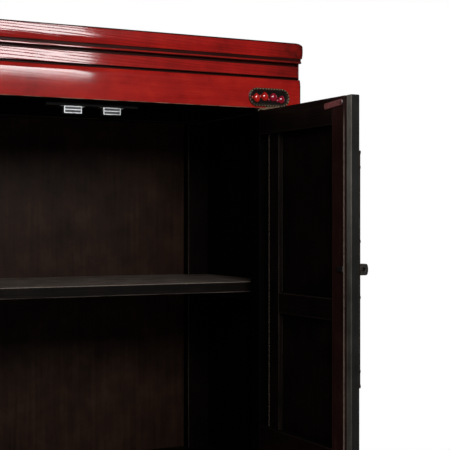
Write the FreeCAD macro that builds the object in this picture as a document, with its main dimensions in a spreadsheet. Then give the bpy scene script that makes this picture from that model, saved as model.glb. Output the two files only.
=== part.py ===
import FreeCAD, Part
import Sketcher
import math
import os
import re
from FreeCAD import Rotation, Vector

# A red lacquered wedding cabinet with two doors, stored with both doors open at right angles.
# X runs to the right, Y from the front to the back, Z up from the floor.
# The floor point under the middle of the whole object, open doors included, is the origin.
# The front face of the lintel is the plane from which every depth below is measured.

document = FreeCAD.newDocument("wedding_cabinet")
sheet = document.addObject("Spreadsheet::Sheet", "sizes")

# Each line holds the name of a size, its value in millimetres and what it is.
DRIVING_SIZES = [
    ("total_height", 1300, "floor to the top of the cornice"),
    ("half_width", 554, "middle to the end of the lintel"),
    ("total_depth", 545, "front of the lintel to the back of the posts"),
    ("lintel_height", 78, "rail over the doors"),
    ("lintel_depth", 60, "front to back of the rail over the doors"),
    ("lintel_bulge", 3, "how far the lintel's face swells"),
    ("frieze_height", 39, "flat board between lintel and cornice"),
    ("frieze_setback", 3, "step in from lintel to frieze"),
    ("groove_height", 4, "shadow groove over and under the frieze"),
    ("groove_depth", 8, "depth of the shadow groove"),
    ("groove_stop", 5, "end of the shadow groove to the end of the frieze"),
    ("cornice_height", 51, "moulded frame round the top"),
    ("cornice_projection", 4, "how far the cornice stands out over the lintel"),
    ("cornice_width", 60, "front to back of a cornice rail"),
    ("cornice_round", 10, "rounding of the cornice's upper edge"),
    ("bead_height", 8, "small bead under the cornice"),
    ("bead_setback", 2.5, "step in from cornice to bead"),
    ("top_thickness", 12, "board inside the cornice"),
    ("top_sink", 4, "top board below the cornice's upper edge"),
    ("post_setback", 3, "step in from lintel to posts"),
    ("post_width", 89, "left to right of a corner post"),
    ("panel_thickness", 12, "side and back boards"),
    ("panel_setback", 13, "step in from a post's outer face to the board"),
    ("panel_tongue", 6, "depth of the grooves that hold the boards"),
    ("rail_thickness", 40, "side and rear rails"),
    ("rail_setback", 4, "step in from a post to a rail"),
    ("bottom_rail_height", 60, "side and rear rails that carry the floor board"),
    ("front_rail_height", 36, "front rail that carries the floor board, above the apron's hollow"),
    ("middle_rail_height", 30, "rails that carry the shelf"),
    ("base_height", 180, "ground to the top of the floor board"),
    ("floor_thickness", 18, "floor board"),
    ("floor_front_setback", 30, "step back from the lintel's front to the floor board"),
    ("shelf_level", 689, "top of the shelf"),
    ("shelf_thickness", 27, "shelf board"),
    ("shelf_front_setback", 65, "step back from the lintel's front to the shelf"),
    ("sill_height", 74, "rail under the doors"),
    ("sill_thickness", 40, "front to back of the rail under the doors"),
    ("apron_height", 84, "shaped board under the sill"),
    ("apron_thickness", 17, "shaped board under the sill"),
    ("apron_foot_width", 95, "deep part of the apron beside a post"),
    ("apron_scallop", 27, "radius of the hollow beside the deep part"),
    ("tenon_length", 22, "peg at the end of a rail"),
    ("tenon_thickness", 14, "peg at the end of a rail"),
    ("tenon_shoulder", 10, "step from a rail's face to its peg"),
    ("joint_gap", 0.3, "room round a peg or a board's edge"),
    ("leaf_thickness", 36, "door"),
    ("stile_width", 58, "upright of a door"),
    ("door_rail_height", 61, "top rail of a door"),
    ("door_foot_rail_height", 75, "bottom rail of a door"),
    ("door_panel_thickness", 16, "board inside a door's frame"),
    ("door_tongue_thickness", 7, "edge of the board inside the frame's groove"),
    ("door_tongue_depth", 8, "edge of the board inside the frame's groove"),
    ("door_head_gap", 9.4, "door to lintel, room to lift the door off"),
    ("door_foot_gap", 4, "door to sill"),
    ("door_post_gap", 5, "door to post"),
    ("meeting_gap", 0.5, "door to the middle"),
    ("lap_width", 20.4, "strip on the right door that laps behind the left one"),
    ("lap_thickness", 22, "strip on the right door that laps behind the left one"),
    ("lap_gap", 1.6, "room round the lap"),
    ("batten_width", 50, "battens on a door's inner face"),
    ("batten_thickness", 12, "battens on a door's inner face"),
    ("batten_inset", 34, "hinge stile to the upright batten"),
    ("cross_batten_level", 670, "top of the cross batten"),
    ("pivot_radius", 9, "dowel a door turns on"),
    ("pivot_clearance", 0.05, "round gap in a dowel's hole"),
    ("upper_pivot_depth", 25, "dowel inside the lintel"),
    ("lower_pivot_depth", 8, "dowel inside the sill"),
    ("lock_plate_margin", 168.8, "half a door's height less the round lock plate's radius"),
    ("lock_plate_thickness", 2, "round lock plate over both doors"),
    ("lock_plate_drop", 121.1, "door's top to the upper edge of the lock plate"),
    ("nail_ring_inset", 16, "plate's rim to the ring of nails"),
    ("nail_head_radius", 6, "domed nail"),
    ("nail_head_height", 3.5, "domed nail"),
    ("nail_shank_radius", 1.5, "domed nail"),
    ("nail_shank_length", 10, "domed nail under its head"),
    ("staple_height", 24, "lock staple"),
    ("staple_reach", 27, "lock staple in front of the plate"),
    ("staple_width", 9, "lock staple along the door"),
    ("staple_inset", 9, "door's edge to the staple"),
    ("staple_hole_radius", 5, "hole for the padlock's bar"),
    ("staple_tang_height", 12, "tail through the door"),
    ("staple_tang_width", 5, "tail through the door"),
    ("staple_clinch_length", 26, "tail bent over inside"),
    ("staple_clinch_thickness", 2.5, "tail bent over inside"),
    ("strike_length", 75, "steel plate that the magnet holds"),
    ("strike_height", 13.5, "steel plate that the magnet holds"),
    ("strike_thickness", 1.5, "steel plate that the magnet holds"),
    ("strike_edge_inset", 14, "plate to the right stile's edge"),
    ("strike_top_inset", 9, "plate to the door's top"),
    ("strike_lap_gap", 0.6, "plate to the lap behind the left door"),
    ("strike_screw_inset", 7, "plate's end to its screw"),
    ("screw_radius", 1.8, "screw shank"),
    ("screw_head_radius", 3.2, "screw head"),
    ("screw_head_height", 1.2, "screw head"),
    ("screw_length", 12, "screw under its head"),
    ("catch_batten_half", 117, "middle to the end of the batten under the lintel"),
    ("catch_batten_height", 13, "batten under the lintel"),
    ("catch_batten_depth", 34, "batten under the lintel"),
    ("catch_spacing", 99, "between the middles of the two catches"),
    ("catch_length", 45, "magnet's housing"),
    ("catch_height", 18, "magnet's housing"),
    ("catch_depth", 20, "magnet's housing"),
    ("catch_wall", 3, "magnet's housing"),
    ("catch_bar", 3.4, "bar across the housing's front"),
    ("catch_slot_depth", 2, "front of the housing to the magnet"),
    ("catch_ear", 8, "fixing ear at each end of the housing"),
    ("catch_ear_thickness", 1.6, "fixing ear at each end of the housing"),
    ("catch_play", 0.5, "closed door's plate to the magnet's housing"),
    ("block_outward", 22, "door's axis to the middle of the carved block over it"),
    ("block_length", 117, "carved block over a door's pivot"),
    ("block_height", 47, "carved block over a door's pivot"),
    ("block_rise", 28, "lintel's lower edge to the middle of the carved block"),
    ("block_proud", 3, "carved block in front of the lintel"),
    ("block_seat", 7, "carved block let into the lintel"),
    ("block_rim", 5, "raised rim round the block"),
    ("block_sink", 3, "field inside the rim"),
    ("berry_pitch", 23, "between two carved berries"),
    ("berry_width", 19, "carved berry"),
    ("berry_height", 29, "carved berry"),
    ("berry_relief", 7, "carved berry over the field"),
    ("leaf_length", 94, "carved leaf under the block"),
    ("leaf_height", 14, "carved leaf under the block"),
    ("leaf_drop", 8.5, "carved leaf below the lintel"),
    ("leaf_relief", 5, "carved leaf in front of the lintel's lower edge"),
    ("round_clearance", 0.05, "round gap in the hole of a nail or screw"),
    ("blind_end_gap", 2, "room past the end of a dowel, nail or screw"),
    ("overrun", 5, "how far a cutting shape runs past what it cuts"),
]
NAIL_TURN_SHARES = [0.05, 0.15, 0.25, 0.35, 0.45, 0.55, 0.65, 0.75, 0.85, 0.95]
BERRY_PLACE_SHARES = [-1.5, -0.5, 0.5, 1.5]
RIGHT_ANGLE = 90
HALF_TURN = 180

for row, (alias, value, note) in enumerate(DRIVING_SIZES, start=1):
    sheet.set(f"A{row}", alias)
    sheet.set(f"B{row}", str(value))
    sheet.set(f"C{row}", note)
    sheet.setAlias(f"B{row}", alias)
document.recompute()
ALIASES = {alias for alias, value, note in DRIVING_SIZES}

# Places worked out from the sizes, written as formulas of the sheet.
POST_OUT = "(half_width - post_setback)"
POST_IN = f"({POST_OUT} - post_width)"
REAR_TOP_RAIL = "(total_depth - lintel_depth)"
REAR_POST = "(total_depth - lintel_depth + post_setback)"
CORNICE_LEVEL = "(total_height - cornice_height)"
LINTEL_TOP = f"({CORNICE_LEVEL} - frieze_height)"
LINTEL_LEVEL = f"({LINTEL_TOP} - lintel_height)"
FLOOR_UNDER = "(base_height - floor_thickness)"
BOTTOM_RAIL_LEVEL = f"({FLOOR_UNDER} - bottom_rail_height)"
SHELF_UNDER = "(shelf_level - shelf_thickness)"
SILL_TOP = "(base_height + sill_height)"
DOOR_LEVEL = f"({SILL_TOP} + door_foot_gap)"
DOOR_TOP = f"({LINTEL_LEVEL} - door_head_gap)"
SIDE_PANEL_OUT = f"({POST_OUT} - panel_setback)"
SIDE_PANEL_IN = f"({SIDE_PANEL_OUT} - panel_thickness)"
BACK_PANEL_OUT = "(total_depth - panel_setback)"
BACK_PANEL_IN = f"({BACK_PANEL_OUT} - panel_thickness)"
RAIL_OUT = f"({POST_OUT} - rail_setback)"
RAIL_IN = f"({RAIL_OUT} - rail_thickness)"
CORNICE_OUT = "(half_width + cornice_projection)"
CORNICE_IN = f"({CORNICE_OUT} - cornice_width)"
DOOR_AXIS = f"({POST_IN} - door_post_gap - leaf_thickness / 2)"
DOOR_REACH = f"({DOOR_AXIS} + lap_width - leaf_thickness / 2)"
MIDDLE_DEPTH = f"((total_depth - {DOOR_REACH}) / 2)"
BLOCK_MIDDLE = f"({DOOR_AXIS} + block_outward)"
BLOCK_LEVEL = f"({LINTEL_LEVEL} + block_rise)"
LEAF_EDGE = f"({DOOR_AXIS} - meeting_gap)"
CATCH_FRONT = "(leaf_thickness + strike_thickness + catch_play)"
LOCK_RADIUS = f"(({DOOR_TOP} - {DOOR_LEVEL}) / 2 - lock_plate_margin)"
LOCK_LEVEL = f"({DOOR_TOP} - lock_plate_drop - {LOCK_RADIUS})"

SIDES = ("left", "right")
nodes = {}
tenons = {}


def formula(text):
    """Point each size's name in a formula at its cell in the sheet."""
    return re.sub(
        r"[a-z_]+",
        lambda word: f"sizes.{word.group(0)}" if word.group(0) in ALIASES else word.group(0),
        text,
    )


def place(thing, x, y, z):
    """Bind a thing's place, with depths counted from the front of the lintel."""
    thing.setExpression("Placement.Base.x", formula(x))
    thing.setExpression("Placement.Base.y", formula(f"({y}) - {MIDDLE_DEPTH}"))
    thing.setExpression("Placement.Base.z", formula(z))


def box(name, span):
    """A block from its six faces: left, right, front, back, bottom and top."""
    left, right, front, back, bottom, top = span
    block = document.addObject("Part::Box", name)
    block.setExpression("Length", formula(f"({right}) - ({left})"))
    block.setExpression("Width", formula(f"({back}) - ({front})"))
    block.setExpression("Height", formula(f"({top}) - ({bottom})"))
    place(block, left, front, bottom)
    return block


def cylinder(name, radius, length, base, direction=Vector(0, 0, 1), turn=None):
    """A round bar from the middle of its first end face, along a direction."""
    bar = document.addObject("Part::Cylinder", name)
    bar.Placement.Rotation = Rotation(Vector(0, 0, 1), direction)
    bar.setExpression("Radius", formula(radius))
    bar.setExpression("Height", formula(length))
    if turn is not None:
        bar.Angle = turn
    place(bar, *base)
    return bar


def cone(name, start_radius, end_radius, length, base, direction):
    """A cone from the middle of its first end face, along a direction."""
    taper = document.addObject("Part::Cone", name)
    taper.Placement.Rotation = Rotation(Vector(0, 0, 1), direction)
    taper.setExpression("Radius1", formula(start_radius))
    taper.setExpression("Radius2", formula(end_radius))
    taper.setExpression("Height", formula(length))
    place(taper, *base)
    return taper


def fused(name, pieces):
    """One solid from several that meet or overlap."""
    joined = document.addObject("Part::MultiFuse", name)
    joined.Shapes = pieces
    joined.Refine = True
    return joined


def cut(name, blank, tools):
    """What is left of a blank once the tools have been taken out of it."""
    left_over = document.addObject("Part::Cut", name)
    left_over.Base = blank
    left_over.Tool = tools[0] if len(tools) == 1 else fused(f"{name}_cuts", tools)
    left_over.Refine = True
    return left_over


def group(name, pieces):
    """Separate like pieces kept together in one node."""
    bundle = document.addObject("Part::Compound", name)
    bundle.Links = pieces
    return bundle


def node(name, thing):
    """Note a finished sub-part under the name of its file."""
    thing.Label = name
    nodes[name] = thing
    return thing


def mirrored(side, span):
    """The same block on the left or the right half of the cabinet."""
    if side == "right":
        return span
    left, right, *rest = span
    return (f"-({right})", f"-({left})", *rest)


def sign(side):
    return "" if side == "right" else "-"


def grown(span, amount="joint_gap"):
    """A block made larger all round, as a socket is round its peg."""
    low_high = zip(span[0::2], span[1::2])
    return tuple(edge for low, high in low_high for edge in (f"({low}) - {amount}", f"({high}) + {amount}"))


def railed(name, body, pegs):
    """A rail with its pegs. Each peg is also noted for the piece that it enters."""
    pieces = [box(f"{name}_body", body)]
    for number, (host, peg) in enumerate(pegs):
        pieces.append(box(f"{name}_peg_{number}", peg))
        tenons.setdefault(host, []).append(peg)
    return fused(f"{name}_blank", pieces)


def sockets(host):
    """The holes that the noted pegs need in a piece."""
    spans = tenons.get(host, [])
    return [box(f"{host}_socket_{number}", grown(span)) for number, span in enumerate(spans)]


def leaf(side, start, end, front, back, bottom, top):
    """A block of an open door, from places along the door and through its thickness.

    Places along the door count from its pivot to its free edge, places through it from its
    outer face. Open at right angles, the door runs straight out from the front of the cabinet.
    """
    outer_face = f"({DOOR_AXIS} + leaf_thickness / 2)"
    span = (
        f"{outer_face} - ({back})", f"{outer_face} - ({front})",
        f"leaf_thickness / 2 - ({end})", f"leaf_thickness / 2 - ({start})",
        bottom, top,
    )
    return mirrored(side, span)


def leaf_point(side, along, through, level):
    """A point of an open door, for a round piece."""
    x = f"{sign(side)}({DOOR_AXIS} + leaf_thickness / 2 - ({through}))"
    return (x, f"leaf_thickness / 2 - ({along})", level)


def inward(side):
    """The way from an open door's outer face to its inner one."""
    return Vector(-1, 0, 0) if side == "right" else Vector(1, 0, 0)


def make_lintel():
    """The rail over the doors, its face slightly swollen, with seats for blocks and dowels."""
    span = ("-half_width", "half_width", "0", "lintel_depth", LINTEL_LEVEL, LINTEL_TOP)
    bar = box("lintel_bar", span)
    swell = "((lintel_height / 2) ^ 2 + lintel_bulge ^ 2) / (2 * lintel_bulge)"
    axis = ("-half_width - overrun", swell, f"{LINTEL_LEVEL} + lintel_height / 2")
    face = cylinder("lintel_face", swell, "2 * (half_width + overrun)", axis, Vector(1, 0, 0))
    blank = document.addObject("Part::Common", "lintel_blank")
    blank.Base = bar
    blank.Tool = face
    tools = sockets("lintel")
    for side in SIDES:
        hole_end = f"{sign(side)}{DOOR_AXIS}"
        start = (hole_end, "leaf_thickness / 2", f"{LINTEL_LEVEL} - overrun")
        depth = "upper_pivot_depth + blind_end_gap + overrun"
        tools.append(cylinder(f"lintel_pivot_hole_{side}", "pivot_radius + pivot_clearance", depth, start))
        tools.append(stadium(f"lintel_seat_{side}", side, "joint_gap", "-overrun", "block_seat"))
    node("lintel", cut("lintel", blank, tools))


def stadium(name, side, extra, front, back):
    """A long block with round ends, standing on the lintel's face over a door's pivot."""
    radius = f"(block_height / 2 + {extra})"
    middle = f"{sign(side)}{BLOCK_MIDDLE}"
    straight = "(block_length - block_height) / 2"
    span = (
        f"{middle} - {straight}", f"{middle} + {straight}", front, back,
        f"{BLOCK_LEVEL} - {radius}", f"{BLOCK_LEVEL} + {radius}",
    )
    pieces = [box(f"{name}_middle", span)]
    for end, shift in (("a", f"- {straight}"), ("b", f"+ {straight}")):
        base = (f"{middle} {shift}", back, BLOCK_LEVEL)
        length = f"({back}) - ({front})"
        pieces.append(cylinder(f"{name}_end_{end}", radius, length, base, Vector(0, -1, 0)))
    return fused(name, pieces)


def make_pivot_block(side):
    """The carved block over a door's pivot: a rim, four berries and a leaf below it."""
    name = f"pivot_block_{side}"
    middle = f"{sign(side)}{BLOCK_MIDDLE}"
    body = stadium(f"{name}_body", side, "0", "-block_proud", "block_seat - joint_gap")
    field = stadium(f"{name}_field", side, "-block_rim", "-block_proud - overrun", "block_sink - block_proud")
    pieces = [cut(f"{name}_dish", body, [field])]
    for number, share in enumerate(BERRY_PLACE_SHARES):
        berry = document.addObject("Part::Ellipsoid", f"{name}_berry_{number}")
        berry.setExpression("Radius1", formula("berry_height / 2"))
        berry.setExpression("Radius2", formula("berry_width / 2"))
        berry.setExpression("Radius3", formula("berry_relief"))
        place(berry, f"{middle} + {share} * berry_pitch", "block_sink - block_proud", BLOCK_LEVEL)
        pieces.append(berry)
    bottom = f"({LINTEL_LEVEL} - leaf_drop)"
    half = "(leaf_length / 2)"
    span = (f"{middle} - {half}", f"{middle} + {half}", "-leaf_relief", "0",
            bottom, f"{bottom} + leaf_height")
    curve = f"(({half} ^ 2 + (leaf_height / 2) ^ 2) / leaf_height)"
    axis = (middle, "overrun", f"{bottom} + {curve}")
    sprig = document.addObject("Part::Common", f"{name}_leaf")
    sprig.Base = box(f"{name}_leaf_bar", span)
    sprig.Tool = cylinder(f"{name}_leaf_curve", curve, "leaf_relief + 2 * overrun", axis, Vector(0, -1, 0))
    pieces.append(sprig)
    node(name, fused(name, pieces))


def make_frieze():
    """The flat board over the lintel, with a shadow groove along both edges."""
    out = f"({POST_OUT})"
    span = (f"-{out}", out, "frieze_setback", "lintel_depth", LINTEL_TOP, CORNICE_LEVEL)
    blank = box("frieze_bar", span)
    ends = (f"-{out} + groove_stop", f"{out} - groove_stop")
    node("frieze", cut("frieze", blank, frieze_grooves("frieze", *ends, "frieze_setback", "lintel_depth")))


def frieze_grooves(name, left, right, front, back):
    """Grooves that go round the front and both ends of the frieze."""
    tools = []
    for level, bottom, top in (
        ("low", f"{LINTEL_TOP} - overrun", f"{LINTEL_TOP} + groove_height"),
        ("high", f"{CORNICE_LEVEL} - groove_height", f"{CORNICE_LEVEL} + overrun"),
    ):
        faces = {
            "front": (f"{left} - overrun", f"{right} + overrun", f"{front} - overrun",
                      f"{front} + groove_depth", bottom, top),
            "left": (f"{left} - overrun", f"{left} + groove_depth", f"{front} - overrun",
                     f"{back} + overrun", bottom, top),
            "right": (f"{right} - groove_depth", f"{right} + overrun", f"{front} - overrun",
                      f"{back} + overrun", bottom, top),
        }
        tools += [box(f"{name}_groove_{level}_{face}", span) for face, span in faces.items()]
    return tools


def make_side_top_rail(side):
    """The side's top rail, carved with the same step and groove as the front."""
    name = f"side_top_rail_{side}"
    front, back = "lintel_depth", REAR_TOP_RAIL
    inner = "half_width - lintel_depth"
    low, high = f"{LINTEL_LEVEL} + tenon_shoulder * 4", f"{LINTEL_TOP} - tenon_shoulder"
    peg_sides = (f"{inner} + tenon_shoulder", f"{inner} + tenon_shoulder + tenon_thickness")
    front_peg = mirrored(side, (*peg_sides, f"{front} - tenon_length", front, low, high))
    rear_peg = mirrored(side, (*peg_sides, back, f"{back} + tenon_length", low, high))
    body = mirrored(side, (inner, POST_OUT, front, back, LINTEL_LEVEL, CORNICE_LEVEL))
    swollen = mirrored(side, (POST_OUT, "half_width", front, back, LINTEL_LEVEL, LINTEL_TOP))
    blank = railed(name, body, [("lintel", front_peg), ("rear_top_rail", rear_peg)])
    blank = fused(f"{name}_moulded", [blank, box(f"{name}_face", swollen)])
    ends = (f"{front} - overrun", f"{back} + overrun")
    face = (f"{POST_OUT} - groove_depth", "half_width + overrun")
    low_groove = (*face, *ends, LINTEL_TOP, f"{LINTEL_TOP} + groove_height")
    high_groove = (*face, *ends, f"{CORNICE_LEVEL} - groove_height", f"{CORNICE_LEVEL} + overrun")
    panel_groove = grown((SIDE_PANEL_IN, SIDE_PANEL_OUT, *ends, f"{LINTEL_LEVEL} - overrun",
                          f"{LINTEL_LEVEL} + panel_tongue"))
    tools = [
        box(f"{name}_low_groove", mirrored(side, low_groove)),
        box(f"{name}_high_groove", mirrored(side, high_groove)),
        box(f"{name}_panel_groove", mirrored(side, panel_groove)),
    ]
    node(name, cut(name, blank, tools))


def make_rear_top_rail():
    """The plain rail along the back, under the cornice."""
    span = (f"-{POST_OUT}", POST_OUT, REAR_TOP_RAIL, "total_depth", LINTEL_LEVEL, CORNICE_LEVEL)
    groove = grown((f"-{POST_IN} - panel_tongue", f"{POST_IN} + panel_tongue", BACK_PANEL_IN, BACK_PANEL_OUT,
                    f"{LINTEL_LEVEL} - overrun", f"{LINTEL_LEVEL} + panel_tongue"))
    tools = sockets("rear_top_rail") + [box("rear_top_rail_panel_groove", groove)]
    node("rear_top_rail", cut("rear_top_rail", box("rear_top_rail_bar", span), tools))


def make_cornice():
    """The moulded frame on top, mitred at the front corners, with a board let into it."""
    board = (
        f"-{CORNICE_IN} - panel_tongue", f"{CORNICE_IN} + panel_tongue",
        "cornice_width - cornice_projection - panel_tongue", "total_depth - cornice_width + panel_tongue",
        "total_height - top_sink - top_thickness", "total_height - top_sink",
    )
    node("top_panel", box("top_panel", board))
    long_way = f"2 * {CORNICE_OUT}"
    short_way = "total_depth + cornice_projection"
    rails = {
        "cornice_front": (long_way, (f"-{CORNICE_OUT}", "-cornice_projection", CORNICE_LEVEL), 0),
        "cornice_left": (short_way, (f"-{CORNICE_OUT}", "total_depth", CORNICE_LEVEL), -RIGHT_ANGLE),
        "cornice_right": (short_way, (CORNICE_OUT, "-cornice_projection", CORNICE_LEVEL), RIGHT_ANGLE),
    }
    for name, (length, corner, turn) in rails.items():
        rail = moulding(name, length, corner, turn)
        node(name, cut(name, rail, mitres(name) + [box(f"{name}_groove", grown(board))]))
    rear = (f"-{CORNICE_IN}", CORNICE_IN, "total_depth - cornice_width", "total_depth",
            CORNICE_LEVEL, "total_height")
    rear_bar = box("cornice_rear_bar", rear)
    node("cornice_rear", cut("cornice_rear", rear_bar, [box("cornice_rear_groove", grown(board))]))


def moulding(name, length, corner, turn):
    """A length of the cornice along its own X axis: a bead below, a round-edged fascia above."""
    body = document.addObject("PartDesign::Body", f"{name}_moulding")
    profile = [
        ("bead_setback", "0"), ("bead_setback", "bead_height"), ("0", "bead_height"), ("0", "cornice_height"),
        ("cornice_width", "cornice_height"), ("cornice_width", "0"),
    ]
    pad = padded(body, f"{name}_profile", profile, length)
    document.recompute()
    fillet = body.newObject("PartDesign::Fillet", f"{name}_round")
    fillet.Base = (pad, [outer_upper_edge(pad.Shape)])
    fillet.setExpression("Radius", formula("cornice_round"))
    body.Tip = fillet
    body.Placement.Rotation = Rotation(Vector(0, 0, 1), turn)
    place(body, *corner)
    return body


def outer_upper_edge(shape):
    """The name of the edge that lies highest and furthest out on a moulding."""
    places = [edge.CenterOfMass.z - edge.CenterOfMass.y for edge in shape.Edges]
    return f"Edge{places.index(max(places)) + 1}"


def mitres(rail):
    """Blocks turned by half a right angle that cut the ends where front and side rails meet."""
    tools = []
    size = "(cornice_width * 3)"
    for side in SIDES:
        if rail not in ("cornice_front", f"cornice_{side}"):
            continue
        block = document.addObject("Part::Box", f"{rail}_mitre_{side}")
        for edge in ("Length", "Width", "Height"):
            block.setExpression(edge, formula(size))
        takes_back = rail == "cornice_front"
        turn = mitre_turn(side, takes_back)
        block.Placement.Rotation = Rotation(Vector(0, 0, 1), turn)
        place(block, f"{sign(side)}{CORNICE_OUT}", "-cornice_projection", f"{CORNICE_LEVEL} - overrun")
        tools.append(block)
    return tools


def mitre_turn(side, takes_back):
    """The block's turn about its corner, so that it lies on one side of the mitre line."""
    half_right_angle = RIGHT_ANGLE / 2
    if side == "right":
        return half_right_angle if takes_back else half_right_angle + RIGHT_ANGLE
    return half_right_angle if takes_back else -half_right_angle


def make_sill():
    """The rail under the doors, with a hole for each door's lower dowel."""
    front, back = "post_setback", "post_setback + sill_thickness"
    low, high = "base_height + tenon_shoulder", f"{SILL_TOP} - tenon_shoulder * 2"
    body = (f"-{POST_IN}", POST_IN, front, back, "base_height", SILL_TOP)
    pegs = []
    for side in SIDES:
        peg = (POST_IN, f"{POST_IN} + tenon_length", f"{front} + tenon_shoulder",
               f"{front} + tenon_shoulder + tenon_thickness", low, high)
        pegs.append((f"front_post_{side}", mirrored(side, peg)))
    blank = railed("sill", body, pegs)
    tools = []
    for side in SIDES:
        start = (f"{sign(side)}{DOOR_AXIS}", "leaf_thickness / 2",
                 f"{SILL_TOP} - lower_pivot_depth - blind_end_gap")
        depth = "lower_pivot_depth + blind_end_gap + overrun"
        tools.append(cylinder(f"sill_pivot_hole_{side}", "pivot_radius + pivot_clearance", depth, start))
    node("sill", cut("sill", blank, tools))


def make_front_floor_rail():
    """The rail that carries the front edge of the floor board, behind the apron."""
    front = "post_setback + apron_thickness"
    back = "lintel_depth"
    bottom = f"({FLOOR_UNDER} - front_rail_height)"
    body = (f"-{POST_IN}", POST_IN, front, back, bottom, FLOOR_UNDER)
    pegs = []
    for side in SIDES:
        peg = (POST_IN, f"{POST_IN} + tenon_length", f"{front} + tenon_shoulder",
               f"{front} + tenon_shoulder + tenon_thickness",
               f"{bottom} + tenon_shoulder", f"{FLOOR_UNDER} - tenon_shoulder")
        pegs.append((f"front_post_{side}", mirrored(side, peg)))
    node("front_floor_rail", railed("front_floor_rail", body, pegs))


def make_rear_bottom_rail():
    """The rail that carries the rear edge of the floor board and the back board."""
    front, back = "total_depth - rail_setback - rail_thickness", "total_depth - rail_setback"
    body = (f"-{POST_IN}", POST_IN, front, back, BOTTOM_RAIL_LEVEL, FLOOR_UNDER)
    pegs = []
    for side in SIDES:
        peg = (POST_IN, f"{POST_IN} + tenon_length", f"{front} + tenon_shoulder",
               f"{front} + tenon_shoulder + tenon_thickness",
               f"{BOTTOM_RAIL_LEVEL} + tenon_shoulder", f"{FLOOR_UNDER} - tenon_shoulder")
        pegs.append((f"rear_post_{side}", mirrored(side, peg)))
    blank = railed("rear_bottom_rail", body, pegs)
    groove = grown((f"-{POST_IN} - panel_tongue", f"{POST_IN} + panel_tongue", BACK_PANEL_IN, BACK_PANEL_OUT,
                    f"{FLOOR_UNDER} - panel_tongue", f"{FLOOR_UNDER} + overrun"))
    node("rear_bottom_rail", cut("rear_bottom_rail", blank, [box("rear_bottom_rail_groove", groove)]))


def make_side_rail(side, kind, bottom, top):
    """A rail from front post to rear post, grooved for the boards above and below it."""
    name = f"side_{kind}_rail_{side}"
    front, back = "lintel_depth", REAR_POST
    low, high = f"{bottom} + tenon_shoulder", f"{top} - tenon_shoulder"
    sides = (f"{RAIL_IN} + tenon_shoulder", f"{RAIL_IN} + tenon_shoulder + tenon_thickness")
    front_peg = mirrored(side, (*sides, f"{front} - tenon_length", front, low, high))
    rear_peg = mirrored(side, (*sides, back, f"{back} + tenon_length", low, high))
    body = mirrored(side, (RAIL_IN, RAIL_OUT, front, back, bottom, top))
    blank = railed(name, body, [(f"front_post_{side}", front_peg), (f"rear_post_{side}", rear_peg)])
    ends = (f"{front} - overrun", f"{back} + overrun")
    tools = []
    if kind == "middle":
        under = (SIDE_PANEL_IN, SIDE_PANEL_OUT, *ends, f"{bottom} - overrun", f"{bottom} + panel_tongue")
        tools.append(box(f"{name}_lower_groove", mirrored(side, grown(under))))
    over = (SIDE_PANEL_IN, SIDE_PANEL_OUT, *ends, f"{top} - panel_tongue", f"{top} + overrun")
    tools.append(box(f"{name}_upper_groove", mirrored(side, grown(over))))
    node(name, cut(name, blank, tools))


def make_side_panels(side):
    """The upper and the lower board of one side, held in grooves all round."""
    name = f"side_panels_{side}"
    ends = ("lintel_depth - panel_tongue", f"{REAR_POST} + panel_tongue")
    lower = (SIDE_PANEL_IN, SIDE_PANEL_OUT, *ends, f"{FLOOR_UNDER} - panel_tongue",
             f"{SHELF_UNDER} - middle_rail_height + panel_tongue")
    upper = (SIDE_PANEL_IN, SIDE_PANEL_OUT, *ends, f"{SHELF_UNDER} - panel_tongue",
             f"{LINTEL_LEVEL} + panel_tongue")
    boards = [box(f"{name}_lower", mirrored(side, lower)), box(f"{name}_upper", mirrored(side, upper))]
    corner = (LINTEL_LEVEL, f"{LINTEL_LEVEL} + panel_tongue")
    front_corner = (SIDE_PANEL_IN, SIDE_PANEL_OUT, "lintel_depth - panel_tongue", "lintel_depth", *corner)
    rear_corner = (SIDE_PANEL_IN, SIDE_PANEL_OUT, REAR_TOP_RAIL, f"{REAR_POST} + panel_tongue", *corner)
    tenons.setdefault("lintel", []).append(mirrored(side, front_corner))
    tenons.setdefault("rear_top_rail", []).append(mirrored(side, rear_corner))
    node(name, group(name, boards))


def make_back_panel():
    """The board that closes the back, held in grooves all round."""
    wide = f"{POST_IN} + panel_tongue"
    span = (f"-({wide})", wide, BACK_PANEL_IN, BACK_PANEL_OUT, f"{FLOOR_UNDER} - panel_tongue",
            f"{LINTEL_LEVEL} + panel_tongue")
    node("back_panel", box("back_panel", span))


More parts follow.
